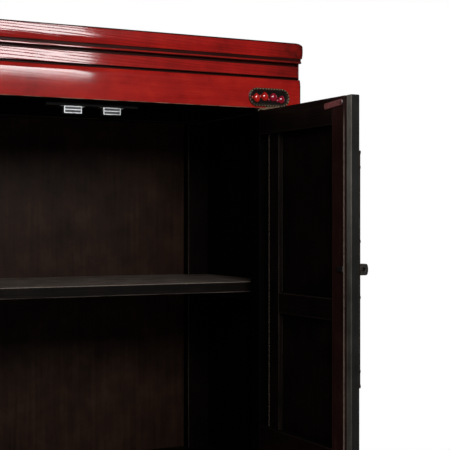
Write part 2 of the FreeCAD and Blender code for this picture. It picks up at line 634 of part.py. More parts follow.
def make_post(end, side):
    """A corner post from the floor to the lintel or the rear top rail, with a peg on top."""
    name = f"{end}_post_{side}"
    host = "lintel" if end == "front" else "rear_top_rail"
    front = "post_setback" if end == "front" else REAR_POST
    back = "lintel_depth" if end == "front" else "total_depth"
    peg = mirrored(side, (
        f"{POST_IN} + tenon_shoulder * 2", f"{POST_OUT} - tenon_shoulder * 2",
        f"{back} - tenon_shoulder - tenon_thickness", f"{back} - tenon_shoulder",
        LINTEL_LEVEL, f"{LINTEL_LEVEL} + tenon_length",
    ))
    body = mirrored(side, (POST_IN, POST_OUT, front, back, "0", LINTEL_LEVEL))
    blank = railed(name, body, [(host, peg)])
    edge = ("lintel_depth - panel_tongue", "lintel_depth + overrun")
    if end == "rear":
        edge = (f"{REAR_POST} - overrun", f"{REAR_POST} + panel_tongue")
    side_groove = (SIDE_PANEL_IN, SIDE_PANEL_OUT, *edge, f"{FLOOR_UNDER} - panel_tongue",
                   f"{LINTEL_LEVEL} + overrun")
    tools = sockets(name) + [box(f"{name}_side_groove", mirrored(side, grown(side_groove)))]
    if end == "rear":
        back_groove = (f"{POST_IN} - overrun", f"{POST_IN} + panel_tongue", BACK_PANEL_IN, BACK_PANEL_OUT,
                       f"{FLOOR_UNDER} - panel_tongue", f"{LINTEL_LEVEL} + overrun")
        tools.append(box(f"{name}_back_groove", mirrored(side, grown(back_groove))))
    node(name, cut(name, blank, tools))


def make_board(name, front, bottom, top, notch_front):
    """The floor or the shelf, from side board to side board, notched round the posts."""
    half = f"({SIDE_PANEL_IN} - joint_gap)"
    blank = box(f"{name}_board", (f"-{half}", half, front, f"{BACK_PANEL_IN} - joint_gap", bottom, top))
    tools = []
    for side in SIDES:
        wide = (f"{POST_IN} - joint_gap", f"{half} + overrun")
        levels = (f"{bottom} - overrun", f"{top} + overrun")
        rear = (*wide, f"{REAR_POST} - joint_gap", "total_depth", *levels)
        tools.append(box(f"{name}_rear_notch_{side}", mirrored(side, rear)))
        if notch_front:
            near = (*wide, f"{front} - overrun", "lintel_depth + joint_gap", *levels)
            tools.append(box(f"{name}_front_notch_{side}", mirrored(side, near)))
    node(name, cut(name, blank, tools))


def make_apron():
    """The shaped board under the sill, deep at both ends and hollowed towards the middle."""
    front, back = "post_setback", "post_setback + apron_thickness"
    bottom = "base_height - apron_height"
    blank = box("apron_board", (f"-{POST_IN}", POST_IN, front, back, bottom, "base_height"))
    half = f"({POST_IN} - apron_foot_width)"
    shallow = f"{bottom} + apron_scallop"
    tools = [box("apron_hollow", (f"-{half}", half, f"{front} - overrun", f"{back} + overrun",
                                  f"{bottom} - overrun", shallow))]
    for side in SIDES:
        base = (f"{sign(side)}{half}", f"{back} + overrun", bottom)
        length = "apron_thickness + 2 * overrun"
        tools.append(cylinder(f"apron_scallop_{side}", "apron_scallop", length, base, Vector(0, -1, 0)))
    node("apron", cut("apron", blank, tools))


def make_catches():
    """Two magnet catches on a batten under the lintel, one for each door."""
    back = f"{CATCH_FRONT} + catch_batten_depth"
    under = f"{LINTEL_LEVEL} - catch_batten_height"
    batten_span = ("-catch_batten_half", "catch_batten_half", CATCH_FRONT, back, under, LINTEL_LEVEL)
    batten = box("catch_batten_bar", batten_span)
    screws = []
    holes = []
    magnets = []
    for side in SIDES:
        middle = f"{sign(side)}catch_spacing / 2"
        half = "catch_length / 2"
        outside = (f"{middle} - {half}", f"{middle} + {half}", CATCH_FRONT, f"{CATCH_FRONT} + catch_depth",
                   f"{under} - catch_height", under)
        ear_span = (f"{middle} - {half} - catch_ear", f"{middle} + {half} + catch_ear",
                    f"{CATCH_FRONT} + catch_wall", f"{CATCH_FRONT} + catch_depth",
                    f"{under} - catch_ear_thickness", under)
        name = f"catch_housing_{side}"
        shell = fused(f"{name}_shell", [box(f"{name}_case", outside), box(f"{name}_ears", ear_span)])
        inside = (f"{middle} - {half} + catch_wall", f"{middle} + {half} - catch_wall",
                  f"{CATCH_FRONT} + catch_slot_depth", f"{CATCH_FRONT} + catch_depth + overrun",
                  f"{under} - catch_height + catch_wall", f"{under} - catch_wall")
        tools = [box(f"{name}_hollow", grown(inside, "0"))]
        level = f"({under} - catch_height / 2)"
        slots = {
            "low": (f"{under} - catch_height + catch_wall", f"{level} - catch_bar / 2"),
            "high": (f"{level} + catch_bar / 2", f"{under} - catch_wall"),
        }
        for slot, levels in slots.items():
            span = (inside[0], inside[1], f"{CATCH_FRONT} - overrun", f"{CATCH_FRONT} + catch_wall", *levels)
            tools.append(box(f"{name}_{slot}_slot", span))
        magnet_span = (*inside[:3], f"{CATCH_FRONT} + catch_depth", *inside[4:])
        magnets.append(box(f"catch_magnet_{side}", magnet_span))
        for end, shift in (("a", f"- {half} - catch_ear / 2"), ("b", f"+ {half} + catch_ear / 2")):
            x = f"{middle} {shift}"
            y = f"{CATCH_FRONT} + catch_depth / 2"
            seat = (x, y, f"{under} - catch_ear_thickness")
            screws.append(make_screw(f"catch_screw_{side}_{end}", seat, Vector(0, 0, 1)))
            hole = screw_hole(f"{name}_hole_{end}", seat, Vector(0, 0, 1))
            holes.append(hole)
            tools.append(hole)
        node(name, cut(name, shell, tools))
    node("catch_magnets", group("catch_magnets", magnets))
    node("catch_screws", group("catch_screws", screws))
    node("catch_batten", cut("catch_batten", batten, holes))


def make_screw(name, seat, direction):
    """A screw with a sunk head, from the face that its head is flush with."""
    head = cone(f"{name}_head", "screw_head_radius", "screw_radius", "screw_head_height", seat, direction)
    shank = cylinder(f"{name}_shank", "screw_radius", "screw_length", seat, direction)
    return fused(name, [head, shank])


def screw_hole(name, seat, direction):
    """The hole that a screw with a sunk head needs."""
    wide = "screw_head_radius + round_clearance"
    narrow = "screw_radius + round_clearance"
    sink = cone(f"{name}_sink", wide, narrow, "screw_head_height", seat, direction)
    bore = cylinder(f"{name}_bore", narrow, "screw_length + blind_end_gap", seat, direction)
    return fused(name, [sink, bore])


def lock_holes(side, name):
    """The holes for the ring of nails and the staple's tail, to be cut from one piece."""
    tools = [
        cylinder(f"{name}_nail_hole_{number}", "nail_shank_radius + round_clearance",
                 "lock_plate_thickness + nail_shank_length + blind_end_gap + overrun",
                 leaf_point(side, *nail_place(share, "-lock_plate_thickness - overrun")), inward(side))
        for number, share in enumerate(NAIL_TURN_SHARES)
    ]
    tools.append(box(f"{name}_tang_hole", grown(tang_span(side))))
    return tools


def nail_place(share, through):
    """Where a nail of the ring sits: along the door, through it and its level."""
    ring = f"({LOCK_RADIUS} - nail_ring_inset)"
    turn = f"({share} * {HALF_TURN} * 1 deg)"
    along = f"{LEAF_EDGE} - {ring} * sin({turn})"
    level = f"{LOCK_LEVEL} + {ring} * cos({turn})"
    return along, through, level


def tang_span(side):
    """The staple's tail, through the plate and the stile. The left one ends at the rebate's floor."""
    middle = f"({LEAF_EDGE} - staple_inset - staple_width / 2)"
    far = "leaf_thickness" if side == "right" else "leaf_thickness - lap_thickness - lap_gap"
    return leaf(side, f"{middle} - staple_tang_width / 2", f"{middle} + staple_tang_width / 2",
                "-lock_plate_thickness", far,
                f"{LOCK_LEVEL} - staple_tang_height / 2", f"{LOCK_LEVEL} + staple_tang_height / 2")


def make_lock(side):
    """Half of the round lock plate with its nails, and the staple for a padlock."""
    plate_name = f"lock_plate_{side}"
    edge = leaf_point(side, LEAF_EDGE, "0", LOCK_LEVEL)
    disc = document.addObject("Part::Cylinder", f"{plate_name}_disc")
    disc.setExpression("Radius", formula(LOCK_RADIUS))
    disc.setExpression("Height", formula("lock_plate_thickness"))
    disc.Angle = HALF_TURN
    outward = inward(side).negative()
    start = Vector(0, 0, 1) if side == "left" else Vector(0, 0, -1)
    disc.Placement.Rotation = Rotation(start, Vector(0, 1, 0), outward)
    place(disc, *edge)
    node(plate_name, cut(plate_name, disc, lock_holes(side, plate_name)))
    nails = []
    for number, share in enumerate(NAIL_TURN_SHARES):
        name = f"lock_nail_{side}_{number}"
        seat = leaf_point(side, *nail_place(share, "-lock_plate_thickness"))
        dome_radius = "((nail_head_radius ^ 2 + nail_head_height ^ 2) / (2 * nail_head_height))"
        ball = document.addObject("Part::Sphere", f"{name}_ball")
        ball.setExpression("Radius", formula(dome_radius))
        sink = f"-lock_plate_thickness + {dome_radius} - nail_head_height"
        place(ball, *leaf_point(side, *nail_place(share, sink)))
        cap = cylinder(f"{name}_cap", "nail_head_radius", "nail_head_height", seat, outward)
        dome = document.addObject("Part::Common", f"{name}_dome")
        dome.Base = cap
        dome.Tool = ball
        reach = "lock_plate_thickness + nail_shank_length"
        shank = cylinder(f"{name}_shank", "nail_shank_radius", reach, seat, inward(side))
        nails.append(fused(name, [dome, shank]))
    node(f"lock_nails_{side}", group(f"lock_nails_{side}", nails))
    make_staple(side, outward)


def make_staple(side, outward):
    """A flat iron staple with a round nose and a hole. The right one's tail is bent over inside."""
    name = f"lock_staple_{side}"
    middle = f"({LEAF_EDGE} - staple_inset - staple_width / 2)"
    low, high = f"{middle} - staple_width / 2", f"{middle} + staple_width / 2"
    nose = "(staple_height / 2)"
    front = "-lock_plate_thickness - staple_reach"
    shank = leaf(side, low, high, f"{front} + {nose}", "-lock_plate_thickness",
                 f"{LOCK_LEVEL} - {nose}", f"{LOCK_LEVEL} + {nose}")
    start = leaf_point(side, low, f"{front} + {nose}", LOCK_LEVEL)
    bulb = cylinder(f"{name}_nose", nose, "staple_width", start, Vector(0, -1, 0))
    pieces = [box(f"{name}_shank", shank), bulb, box(f"{name}_tang", tang_span(side))]
    if side == "right":
        clinch_low = f"{middle} + staple_tang_width / 2 - staple_clinch_length"
        clinch = leaf(side, clinch_low, f"{middle} + staple_tang_width / 2", "leaf_thickness",
                      "leaf_thickness + staple_clinch_thickness",
                      f"{LOCK_LEVEL} - staple_tang_height / 2",
                      f"{LOCK_LEVEL} + staple_tang_height / 2")
        pieces.append(box(f"{name}_clinch", clinch))
    blank = fused(f"{name}_blank", pieces)
    hole_start = leaf_point(side, f"{low} - overrun", f"{front} + {nose}", LOCK_LEVEL)
    hole_length = "staple_width + 2 * overrun"
    hole = cylinder(f"{name}_hole", "staple_hole_radius", hole_length, hole_start, Vector(0, -1, 0))
    node(name, cut(name, blank, [hole]))


def strike_start(side):
    """How far a strike plate's outer end lies along the door, clear of the lap behind the left door."""
    inset = "strike_edge_inset" if side == "right" else "(lap_width + lap_gap + strike_lap_gap)"
    return f"({LEAF_EDGE} - {inset})"


def make_strike(side):
    """The steel plate inside a door's top corner and its two screws. Returns the screws' holes."""
    name = f"strike_plate_{side}"
    body = document.addObject("PartDesign::Body", f"{name}_blank")
    corners = [("0", "0"), ("strike_length", "0"), ("strike_length", "strike_height"), ("0", "strike_height")]
    padded(body, f"{name}_outline", corners, "strike_thickness")
    through = "leaf_thickness + strike_thickness" if side == "right" else "leaf_thickness"
    bottom = f"{DOOR_TOP} - strike_top_inset - strike_height"
    place(body, *leaf_point(side, strike_start(side), through, bottom))
    screws = []
    holes = []
    for end, inset in (("outer", "strike_screw_inset"), ("inner", "strike_length - strike_screw_inset")):
        seat = leaf_point(side, f"{strike_start(side)} - ({inset})", "leaf_thickness + strike_thickness",
                          f"{bottom} + strike_height / 2")
        screws.append(make_screw(f"strike_screw_{side}_{end}", seat, inward(side).negative()))
        holes.append(screw_hole(f"{name}_hole_{end}", seat, inward(side).negative()))
    node(name, cut(name, body, holes))
    node(f"strike_screws_{side}", group(f"strike_screws_{side}", screws))
    return holes


def padded(body, name, corners, length):
    """Pad an outline, drawn across the body's own X axis, along that axis."""
    sketch = body.newObject("Sketcher::SketchObject", name)
    plane = [item for item in body.Origin.OriginFeatures if item.Role == "YZ_Plane"][0]
    sketch.AttachmentSupport = [(plane, "")]
    sketch.MapMode = "FlatFace"
    count = len(corners)
    turns = [2 * math.pi * number / count for number in range(count)]
    guesses = [Vector(math.cos(turn), math.sin(turn), 0) for turn in turns]
    for number, start in enumerate(guesses):
        sketch.addGeometry(Part.LineSegment(start, guesses[(number + 1) % count]), False)
    for number, (across, up) in enumerate(corners):
        before = (number - 1) % count
        sketch.addConstraint(Sketcher.Constraint("Coincident", before, 2, number, 1))
        for kind, text in (("DistanceX", across), ("DistanceY", up)):
            index = sketch.addConstraint(Sketcher.Constraint(kind, -1, 1, number, 1, 1))
            sketch.setExpression(f"Constraints[{index}]", formula(text))
    pad = body.newObject("PartDesign::Pad", f"{name}_pad")
    pad.Profile = sketch
    pad.setExpression("Length", formula(length))
    body.Tip = pad
    return pad


def make_door(side):
    """A framed door with battens inside, turning on a dowel above and one below."""
    hinge_edge = "-leaf_thickness / 2"
    stile_in = f"({hinge_edge} + stile_width)"
    free_in = f"({LEAF_EDGE} - stile_width)"
    whole = ("0", "leaf_thickness")
    rail_levels = {
        "top": (f"{DOOR_TOP} - door_rail_height", DOOR_TOP),
        "bottom": (DOOR_LEVEL, f"{DOOR_LEVEL} + door_foot_rail_height"),
    }
    peg_front = "(leaf_thickness - tenon_thickness) / 2"
    peg_through = (peg_front, f"{peg_front} + tenon_thickness")
    tongue_front = "(door_panel_thickness - door_tongue_thickness) / 2"
    tongue = (tongue_front, f"{tongue_front} + door_tongue_thickness")
    panel_low, panel_high = rail_levels["bottom"][1], rail_levels["top"][0]
    tongue_span = leaf(side, f"{stile_in} - door_tongue_depth", f"{free_in} + door_tongue_depth", *tongue,
                       f"{panel_low} - door_tongue_depth", f"{panel_high} + door_tongue_depth")
    strike_holes = make_strike(side)
    for kind, (bottom, top) in rail_levels.items():
        name = f"door_{kind}_rail_{side}"
        levels = (f"{bottom} + tenon_shoulder", f"{top} - tenon_shoulder * 2")
        hinge_peg = leaf(side, f"{stile_in} - tenon_length", stile_in, *peg_through, *levels)
        free_peg = leaf(side, free_in, f"{free_in} + tenon_length", *peg_through, *levels)
        blank = railed(name, leaf(side, stile_in, free_in, *whole, bottom, top),
                       [(f"hinge_stile_{side}", hinge_peg), (f"free_stile_{side}", free_peg)])
        holes = strike_holes if kind == "top" else []
        node(name, cut(name, blank, [box(f"{name}_groove", grown(tongue_span))] + holes))
    panel_name = f"door_panel_{side}"
    field = leaf(side, stile_in, free_in, "0", "door_panel_thickness", panel_low, panel_high)
    boards = [box(f"{panel_name}_field", field), box(f"{panel_name}_tongue", tongue_span)]
    panel = fused(f"{panel_name}_blank", boards)
    node(panel_name, cut(panel_name, panel, lock_holes(side, panel_name)))
    make_hinge_stile(side, stile_in, tongue_span)
    make_free_stile(side, free_in, tongue_span, strike_holes)
    batten_low = f"{stile_in} + batten_inset"
    depth = ("door_panel_thickness", "door_panel_thickness + batten_thickness")
    upright = leaf(side, batten_low, f"{batten_low} + batten_width", *depth, panel_low, panel_high)
    node(f"upright_batten_{side}", box(f"upright_batten_{side}", upright))
    cross = leaf(side, f"{batten_low} + batten_width", free_in, *depth, "cross_batten_level - batten_width",
                 "cross_batten_level")
    node(f"cross_batten_{side}", box(f"cross_batten_{side}", cross))


def make_hinge_stile(side, stile_in, tongue_span):
    """The upright that turns in lintel and sill, round on its outer edge."""
    name = f"hinge_stile_{side}"
    plank = box(f"{name}_plank", leaf(side, "0", stile_in, "0", "leaf_thickness", DOOR_LEVEL, DOOR_TOP))
    axis = (f"{sign(side)}{DOOR_AXIS}", "leaf_thickness / 2")
    edge = cylinder(f"{name}_edge", "leaf_thickness / 2", f"{DOOR_TOP} - {DOOR_LEVEL}", (*axis, DOOR_LEVEL))
    lower = f"{SILL_TOP} - lower_pivot_depth"
    upper = f"{LINTEL_LEVEL} + upper_pivot_depth"
    dowel = cylinder(f"{name}_dowel", "pivot_radius", f"{upper} - ({lower})", (*axis, lower))
    blank = fused(f"{name}_blank", [plank, edge, dowel])
    tools = sockets(name) + [box(f"{name}_groove", grown(tongue_span))]
    node(name, cut(name, blank, tools))


def make_free_stile(side, free_in, tongue_span, strike_holes):
    """The upright at the meeting edge. The left one is rebated for the right one's lap."""
    name = f"free_stile_{side}"
    plank = box(f"{name}_plank", leaf(side, free_in, LEAF_EDGE, "0", "leaf_thickness", DOOR_LEVEL, DOOR_TOP))
    tools = sockets(name) + [box(f"{name}_groove", grown(tongue_span))]
    tools += lock_holes(side, name) + strike_holes
    if side == "left":
        rebate = leaf(side, f"{DOOR_AXIS} - lap_width - lap_gap", f"{DOOR_AXIS} + overrun",
                      "leaf_thickness - lap_thickness - lap_gap", "leaf_thickness + overrun",
                      f"{DOOR_LEVEL} - overrun", f"{DOOR_TOP} + overrun")
        tools.append(box(f"{name}_rebate", rebate))
    node(name, cut(name, plank, tools))


def make_lap_strip():
    """The strip on the right door's edge that closes the gap behind the left door."""
    span = leaf("right", LEAF_EDGE, f"{DOOR_AXIS} + lap_width", "leaf_thickness - lap_thickness",
                "leaf_thickness", DOOR_LEVEL, DOOR_TOP)
    node("lap_strip", box("lap_strip", span))


def check(things):
    """Stop if anything in the document failed or came out empty or broken."""
    failed = [thing.Name for thing in document.Objects if {"Invalid", "Error"} & set(thing.State)]
    if failed:
        raise RuntimeError(f"failed: {failed}")
    for name, thing in things.items():
        shape = thing.Shape
        if shape.isNull() or not shape.isValid() or not shape.Solids:
            raise RuntimeError(f"{name} has no sound shape")


make_side_top_rail("left")
make_side_top_rail("right")
for board_side in SIDES:
    make_side_rail(board_side, "middle", f"({SHELF_UNDER} - middle_rail_height)", SHELF_UNDER)
    make_side_rail(board_side, "bottom", BOTTOM_RAIL_LEVEL, FLOOR_UNDER)
    make_side_panels(board_side)
make_sill()
make_front_floor_rail()
make_rear_bottom_rail()
for post_end in ("front", "rear"):
    for post_side in SIDES:
        make_post(post_end, post_side)
make_lintel()
make_rear_top_rail()
make_frieze()
make_cornice()
make_back_panel()
make_board("floor_board", "floor_front_setback", FLOOR_UNDER, "base_height", True)
make_board("shelf", "shelf_front_setback", SHELF_UNDER, "shelf_level", False)
make_apron()
make_catches()
for door_side in SIDES:
    make_pivot_block(door_side)
    make_door(door_side)
    make_lock(door_side)
make_lap_strip()

document.recompute()
check(nodes)
os.makedirs("parts", exist_ok=True)
for part_name, part in nodes.items():
    part.Shape.exportStep(f"parts/{part_name}.step")
    bounds = part.Shape.BoundBox
    print(f"{part_name}: {len(part.Shape.Solids)} solids, {part.Shape.Volume / 1000:.1f} ml, "
          f"x {bounds.XMin:.1f} {bounds.XMax:.1f}  y {bounds.YMin:.1f} {bounds.YMax:.1f}  "
          f"z {bounds.ZMin:.1f} {bounds.ZMax:.1f}")
print(f"{len(nodes)} sub-parts")
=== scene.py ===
# %% [markdown]
# # A red lacquered wedding cabinet
# This lesson dresses a cabinet that was built in CAD: old red lacquer on elm, a dark inside, brass and
# iron fittings. The CAD model is loaded first and stays fixed. Every new piece is put where a CAD node is,
# by asking for that node's box, so nothing has to be fitted by eye.

# %% Load the fixed frame
import math

import bmesh
import bpy
from mathutils import Matrix, Vector


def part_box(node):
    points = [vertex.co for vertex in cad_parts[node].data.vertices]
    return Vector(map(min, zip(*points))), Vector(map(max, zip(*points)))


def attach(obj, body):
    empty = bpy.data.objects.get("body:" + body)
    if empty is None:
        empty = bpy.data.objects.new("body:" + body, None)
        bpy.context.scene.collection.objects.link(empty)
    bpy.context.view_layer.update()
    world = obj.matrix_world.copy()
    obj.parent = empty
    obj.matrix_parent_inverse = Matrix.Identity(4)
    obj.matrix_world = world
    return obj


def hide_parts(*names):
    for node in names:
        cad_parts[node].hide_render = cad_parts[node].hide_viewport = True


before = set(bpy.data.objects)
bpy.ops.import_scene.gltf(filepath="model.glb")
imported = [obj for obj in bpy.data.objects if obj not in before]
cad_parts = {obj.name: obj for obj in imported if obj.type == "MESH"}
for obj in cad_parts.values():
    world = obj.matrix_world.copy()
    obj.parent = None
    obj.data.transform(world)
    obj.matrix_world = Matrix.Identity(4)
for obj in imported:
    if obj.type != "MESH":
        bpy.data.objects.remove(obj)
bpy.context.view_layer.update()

MM = 0.001
SIDES = (("right", 1), ("left", -1))

# %% [markdown]
# ## Small helpers for materials
# Colours are written as hex values, as a paint chart gives them, and Blender's sockets want linear light, so
# one function turns them. A second function adds any node with its settings and its links, so that each
# material below reads like a list of what the finish is made of. A third one chains several masks.

# %% Colour and node helpers
WHITE = (1, 1, 1, 1)


def srgb(text):
    """A hex colour as linear red, green, blue and an alpha of 1."""
    parts = [int(text[start:start + 2], 16) / 255 for start in (1, 3, 5)]
    return [p / 12.92 if p <= 0.04045 else ((p + 0.055) / 1.055) ** 2.4 for p in parts] + [1.0]


def add(tree, kind, inputs=(), stops=(), **settings):
    """Adds a node. inputs fill its sockets in order, or by name or number as a dictionary. Each is a
    value, another node's output, or a node, which stands for its first output. stops are a ramp's."""
    made = tree.nodes.new("ShaderNode" + kind)
    for key, value in settings.items():
        setattr(made, key, value)
    for socket, value in inputs.items() if isinstance(inputs, dict) else enumerate(inputs):
        if isinstance(value, bpy.types.Node):
            value = value.outputs[0]
        if isinstance(value, bpy.types.NodeSocket):
            tree.links.new(value, made.inputs[socket])
        else:
            made.inputs[socket].default_value = value
    for index, (place, colour) in enumerate(stops):
        ramp = made.color_ramp.elements
        stop = ramp[index] if index < 2 else ramp.new(place)
        stop.position = place
        stop.color = srgb(colour)
    return made


def join(tree, operation, mask, *others):
    """Chains masks: MULTIPLY leaves what all of them cover, MAXIMUM what any of them covers."""
    for other in others:
        mask = add(tree, "Math", (mask, other), operation=operation)
    return mask


def new_material(name):
    """A material with an empty node tree."""
    material = bpy.data.materials.new(name)
    material.use_nodes = True
    material.node_tree.nodes.clear()
    return material


def per_mm(size):
    """The scale of a pattern whose features are that many millimetres across."""
    return 1000.0 / size


print("linear value of the mid red:", [round(part, 3) for part in srgb("#94110C")])

# %% [markdown]
# ## Camera
# The photograph was taken with a level camera to the left of the cabinet. Its place, its turn of 26.9
# degrees and its focal length of 1128 pixels come from the cabinet's own level lines. The horizon lies
# three pixels above the middle of the picture, so the picture is shifted by those three pixels.

# %% Place the camera
PICTURE_PIXELS = 450
FOCAL_PIXELS = 1128
HORIZON_PIXEL = 222
SENSOR_MM = 36.0
CAMERA_TURN = -26.88
CAMERA_X = -0.9386
CAMERA_AWAY = 2.5136
CAMERA_HEIGHT = 0.843
LINTEL_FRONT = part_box("lintel")[0][1]

view = bpy.data.cameras.new("photo_view")
view.sensor_width = SENSOR_MM
view.lens = SENSOR_MM * FOCAL_PIXELS / PICTURE_PIXELS
view.shift_y = (HORIZON_PIXEL - PICTURE_PIXELS / 2) / PICTURE_PIXELS
camera = bpy.data.objects.new("photo_camera", view)
camera.location = (CAMERA_X, LINTEL_FRONT - CAMERA_AWAY, CAMERA_HEIGHT)
camera.rotation_euler = (math.radians(90), 0, math.radians(CAMERA_TURN))
bpy.context.scene.collection.objects.link(camera)
bpy.context.scene.camera = camera
bpy.context.scene.view_settings.view_transform = "Standard"
print("lens in mm:", round(view.lens, 2))

# %% [markdown]
# ## Light
# The white band on the left of the frieze and of the lintel is a mirror image of one big soft panel. A ray
# from the camera to the end of that band, mirrored in the flat frieze, says where the panel ends: about
# 0.9 m to the right of the middle, and between 1.51 and 2.43 m up. Everything else is a weak, even light.

# %% Lamps
def panel_light(name, place, aim, width, height, watts):
    """A soft rectangular lamp at place that faces the point aim."""
    lamp = bpy.data.lights.new(name, "AREA")
    lamp.shape = "RECTANGLE"
    lamp.size = width
    lamp.size_y = height
    lamp.energy = watts
    holder = bpy.data.objects.new(name, lamp)
    holder.location = place
    holder.rotation_euler = (Vector(aim) - Vector(place)).to_track_quat("-Z", "Y").to_euler()
    bpy.context.scene.collection.objects.link(holder)


PANEL_WIDTH = 1.9
PANEL_HEIGHT = 0.924
PANEL_RIGHT_EDGE = 0.9
PANEL_LEVEL = 1.968
PANEL_AWAY = 2.5
CABINET_MIDDLE = (0, 0, 0.7)
panel_middle = PANEL_RIGHT_EDGE - PANEL_WIDTH / 2
panel_light("front_panel", (panel_middle, LINTEL_FRONT - PANEL_AWAY, PANEL_LEVEL),
            (panel_middle, LINTEL_FRONT, PANEL_LEVEL), PANEL_WIDTH, PANEL_HEIGHT, 56)
panel_light("right_fill", (3.4, 0.6, 1.6), CABINET_MIDDLE, 1.6, 1.6, 34)
panel_light("rear_fill", (-0.8, 3.6, 1.8), CABINET_MIDDLE, 2.0, 1.6, 34)
print("lamps:", sorted(lamp.name for lamp in bpy.data.lights))

# %% [markdown]
# The backdrop is white because it is coloured white for the rays that the camera, a gloss or a glass
# sends out. Gloss sees it only behind the cabinet, where it stands: the room in front is dim, so the red
# isn't veiled by a white mirror image. The light that reaches the cabinet from all round is a weak grey,
# so the colours keep their depth. The floor does the same further out, but close to the cabinet it is a
# real pale floor that keeps the shadow.

# %% World and floor
AMBIENT = 0.32
ROOM_GLOSS = 0.03
BACKDROP_GLOSS = 0.22
world = bpy.data.worlds.new("studio")
world.use_nodes = True
sky = world.node_tree
sky.nodes.clear()
rays = add(sky, "LightPath").outputs
back = add(sky, "SeparateXYZ", [add(sky, "TexCoord").outputs["Generated"]]).outputs["Y"]
backdrop = add(sky, "MapRange", (back, 0.0, 0.5, ROOM_GLOSS, BACKDROP_GLOSS))
shows = join(sky, "MAXIMUM", rays["Is Camera Ray"], rays["Is Transmission Ray"],
             join(sky, "MULTIPLY", rays["Is Glossy Ray"], backdrop),
             join(sky, "MULTIPLY", rays["Is Diffuse Ray"], AMBIENT))
add(sky, "OutputWorld", [add(sky, "Background", (WHITE, shows))])
bpy.context.scene.world = world

FLOOR_RADIUS = 12.0
REAL_FLOOR_ENDS = 0.85
WHITE_FLOOR_STARTS = 1.42
floor_material = new_material("matt_white_floor")
tree = floor_material.node_tree
rays = add(tree, "LightPath").outputs
place = add(tree, "TexCoord").outputs["Object"]
backdrop = add(tree, "MapRange", (add(tree, "SeparateXYZ", [place]).outputs["Y"], 0.0, 0.8))
gloss = add(tree, "Math", (rays["Is Glossy Ray"], backdrop), operation="MULTIPLY")
dim = add(tree, "Math", (rays["Is Glossy Ray"], gloss), operation="SUBTRACT")
shows = join(tree, "MAXIMUM", rays["Is Camera Ray"], gloss, rays["Is Transmission Ray"])
away = add(tree, "VectorMath", [place], operation="LENGTH").outputs["Value"]
far = add(tree, "MapRange", (away, REAL_FLOOR_ENDS, WHITE_FLOOR_STARTS))
white = add(tree, "Math", (far, shows), operation="MULTIPLY")
grit = add(tree, "TexNoise", {"Vector": place, "Scale": per_mm(6), "Detail": 3.0})
paint = add(tree, "ValToRGB", [grit], stops=[(0.3, "#DCDBD8"), (0.7, "#E6E5E3")])
paint = add(tree, "Mix", {0: dim, 6: paint, 7: srgb("#2C2A28")}, data_type="RGBA")
matt = add(tree, "BsdfDiffuse", [paint.outputs[2]])
glow = add(tree, "Emission", (WHITE, 1.0))
add(tree, "OutputMaterial", [add(tree, "MixShader", (white, matt, glow))])

floor_mesh = bpy.data.meshes.new("floor")
bm = bmesh.new()
bmesh.ops.create_circle(bm, cap_ends=True, segments=64, radius=FLOOR_RADIUS)
bm.to_mesh(floor_mesh)
bm.free()
floor_mesh.materials.append(floor_material)
floor = bpy.data.objects.new("studio_floor", floor_mesh)
bpy.context.scene.collection.objects.link(floor)
print("floor radius in metres:", FLOOR_RADIUS)

# %% [markdown]
# ## Old red lacquer
# The real finish is many thin coats of red lacquer over elm, rubbed smooth and then a century old. To the
# eye it is a deep red with darker and lighter clouds, with fine cracks that follow the grain, and a gloss
# that is broken by those cracks. Along the edges the red is rubbed through to dark wood.
# One function makes it, because a rail needs the cracks along its own length: grain is the axis of the
# wood. The inside of the cabinet never got the red coats: it is a thin dark stain. A piece with one side
# out and one side in gets both finishes, and a mask in the piece's own coordinates says where it changes.

# %% The lacquer recipe
ALONG_GRAIN = 0.04
GRAIN_SCALES = {"x": (ALONG_GRAIN, 1, 1), "y": (1, ALONG_GRAIN, 1), "z": (1, 1, ALONG_GRAIN)}
STOP_PLACES = (0.28, 0.42, 0.55, 0.72)
RED = "#520806 #820E0A #94110C #A61B11"
BAR_RED = "#580907 #890F0B #9B150E #AD2414"
DARK = "#060404 #0B0706 #100B08 #18110D"
BROWN = "#170E0A #241711 #2E1E16 #3A281E"
# Near black: painted shade on the catch batten under the lintel and on the inside of the hinge stiles.
SHADE_BLACK = "#030202 #050404 #080605 #0C0908"
# Dark red brown: painted shade in hollows and grooves, the darkened crest, and dirt on the bar ends.
SHADE_AND_GRIME = "#1C0A07"
EDGE_RADIUS = 4.5 * MM
CREST_RISE = 3.6 * MM
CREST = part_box("cornice_front")[1][2] + CREST_RISE
BAR_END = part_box("lintel")[1][0]
BAR_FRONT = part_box("cornice_front")[0][1]
# Painted shade in the frieze's two grooves and the cornice's hollow: each band has the height of its middle
# and half its width.
SHADED_GROOVES = ((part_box("frieze")[0][2] + 2.2 * MM, 3.2 * MM), (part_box("frieze")[1][2] - 1.2 * MM, 3.8 * MM),
          (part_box("cornice_front")[0][2] + 11.4 * MM, 3.2 * MM))


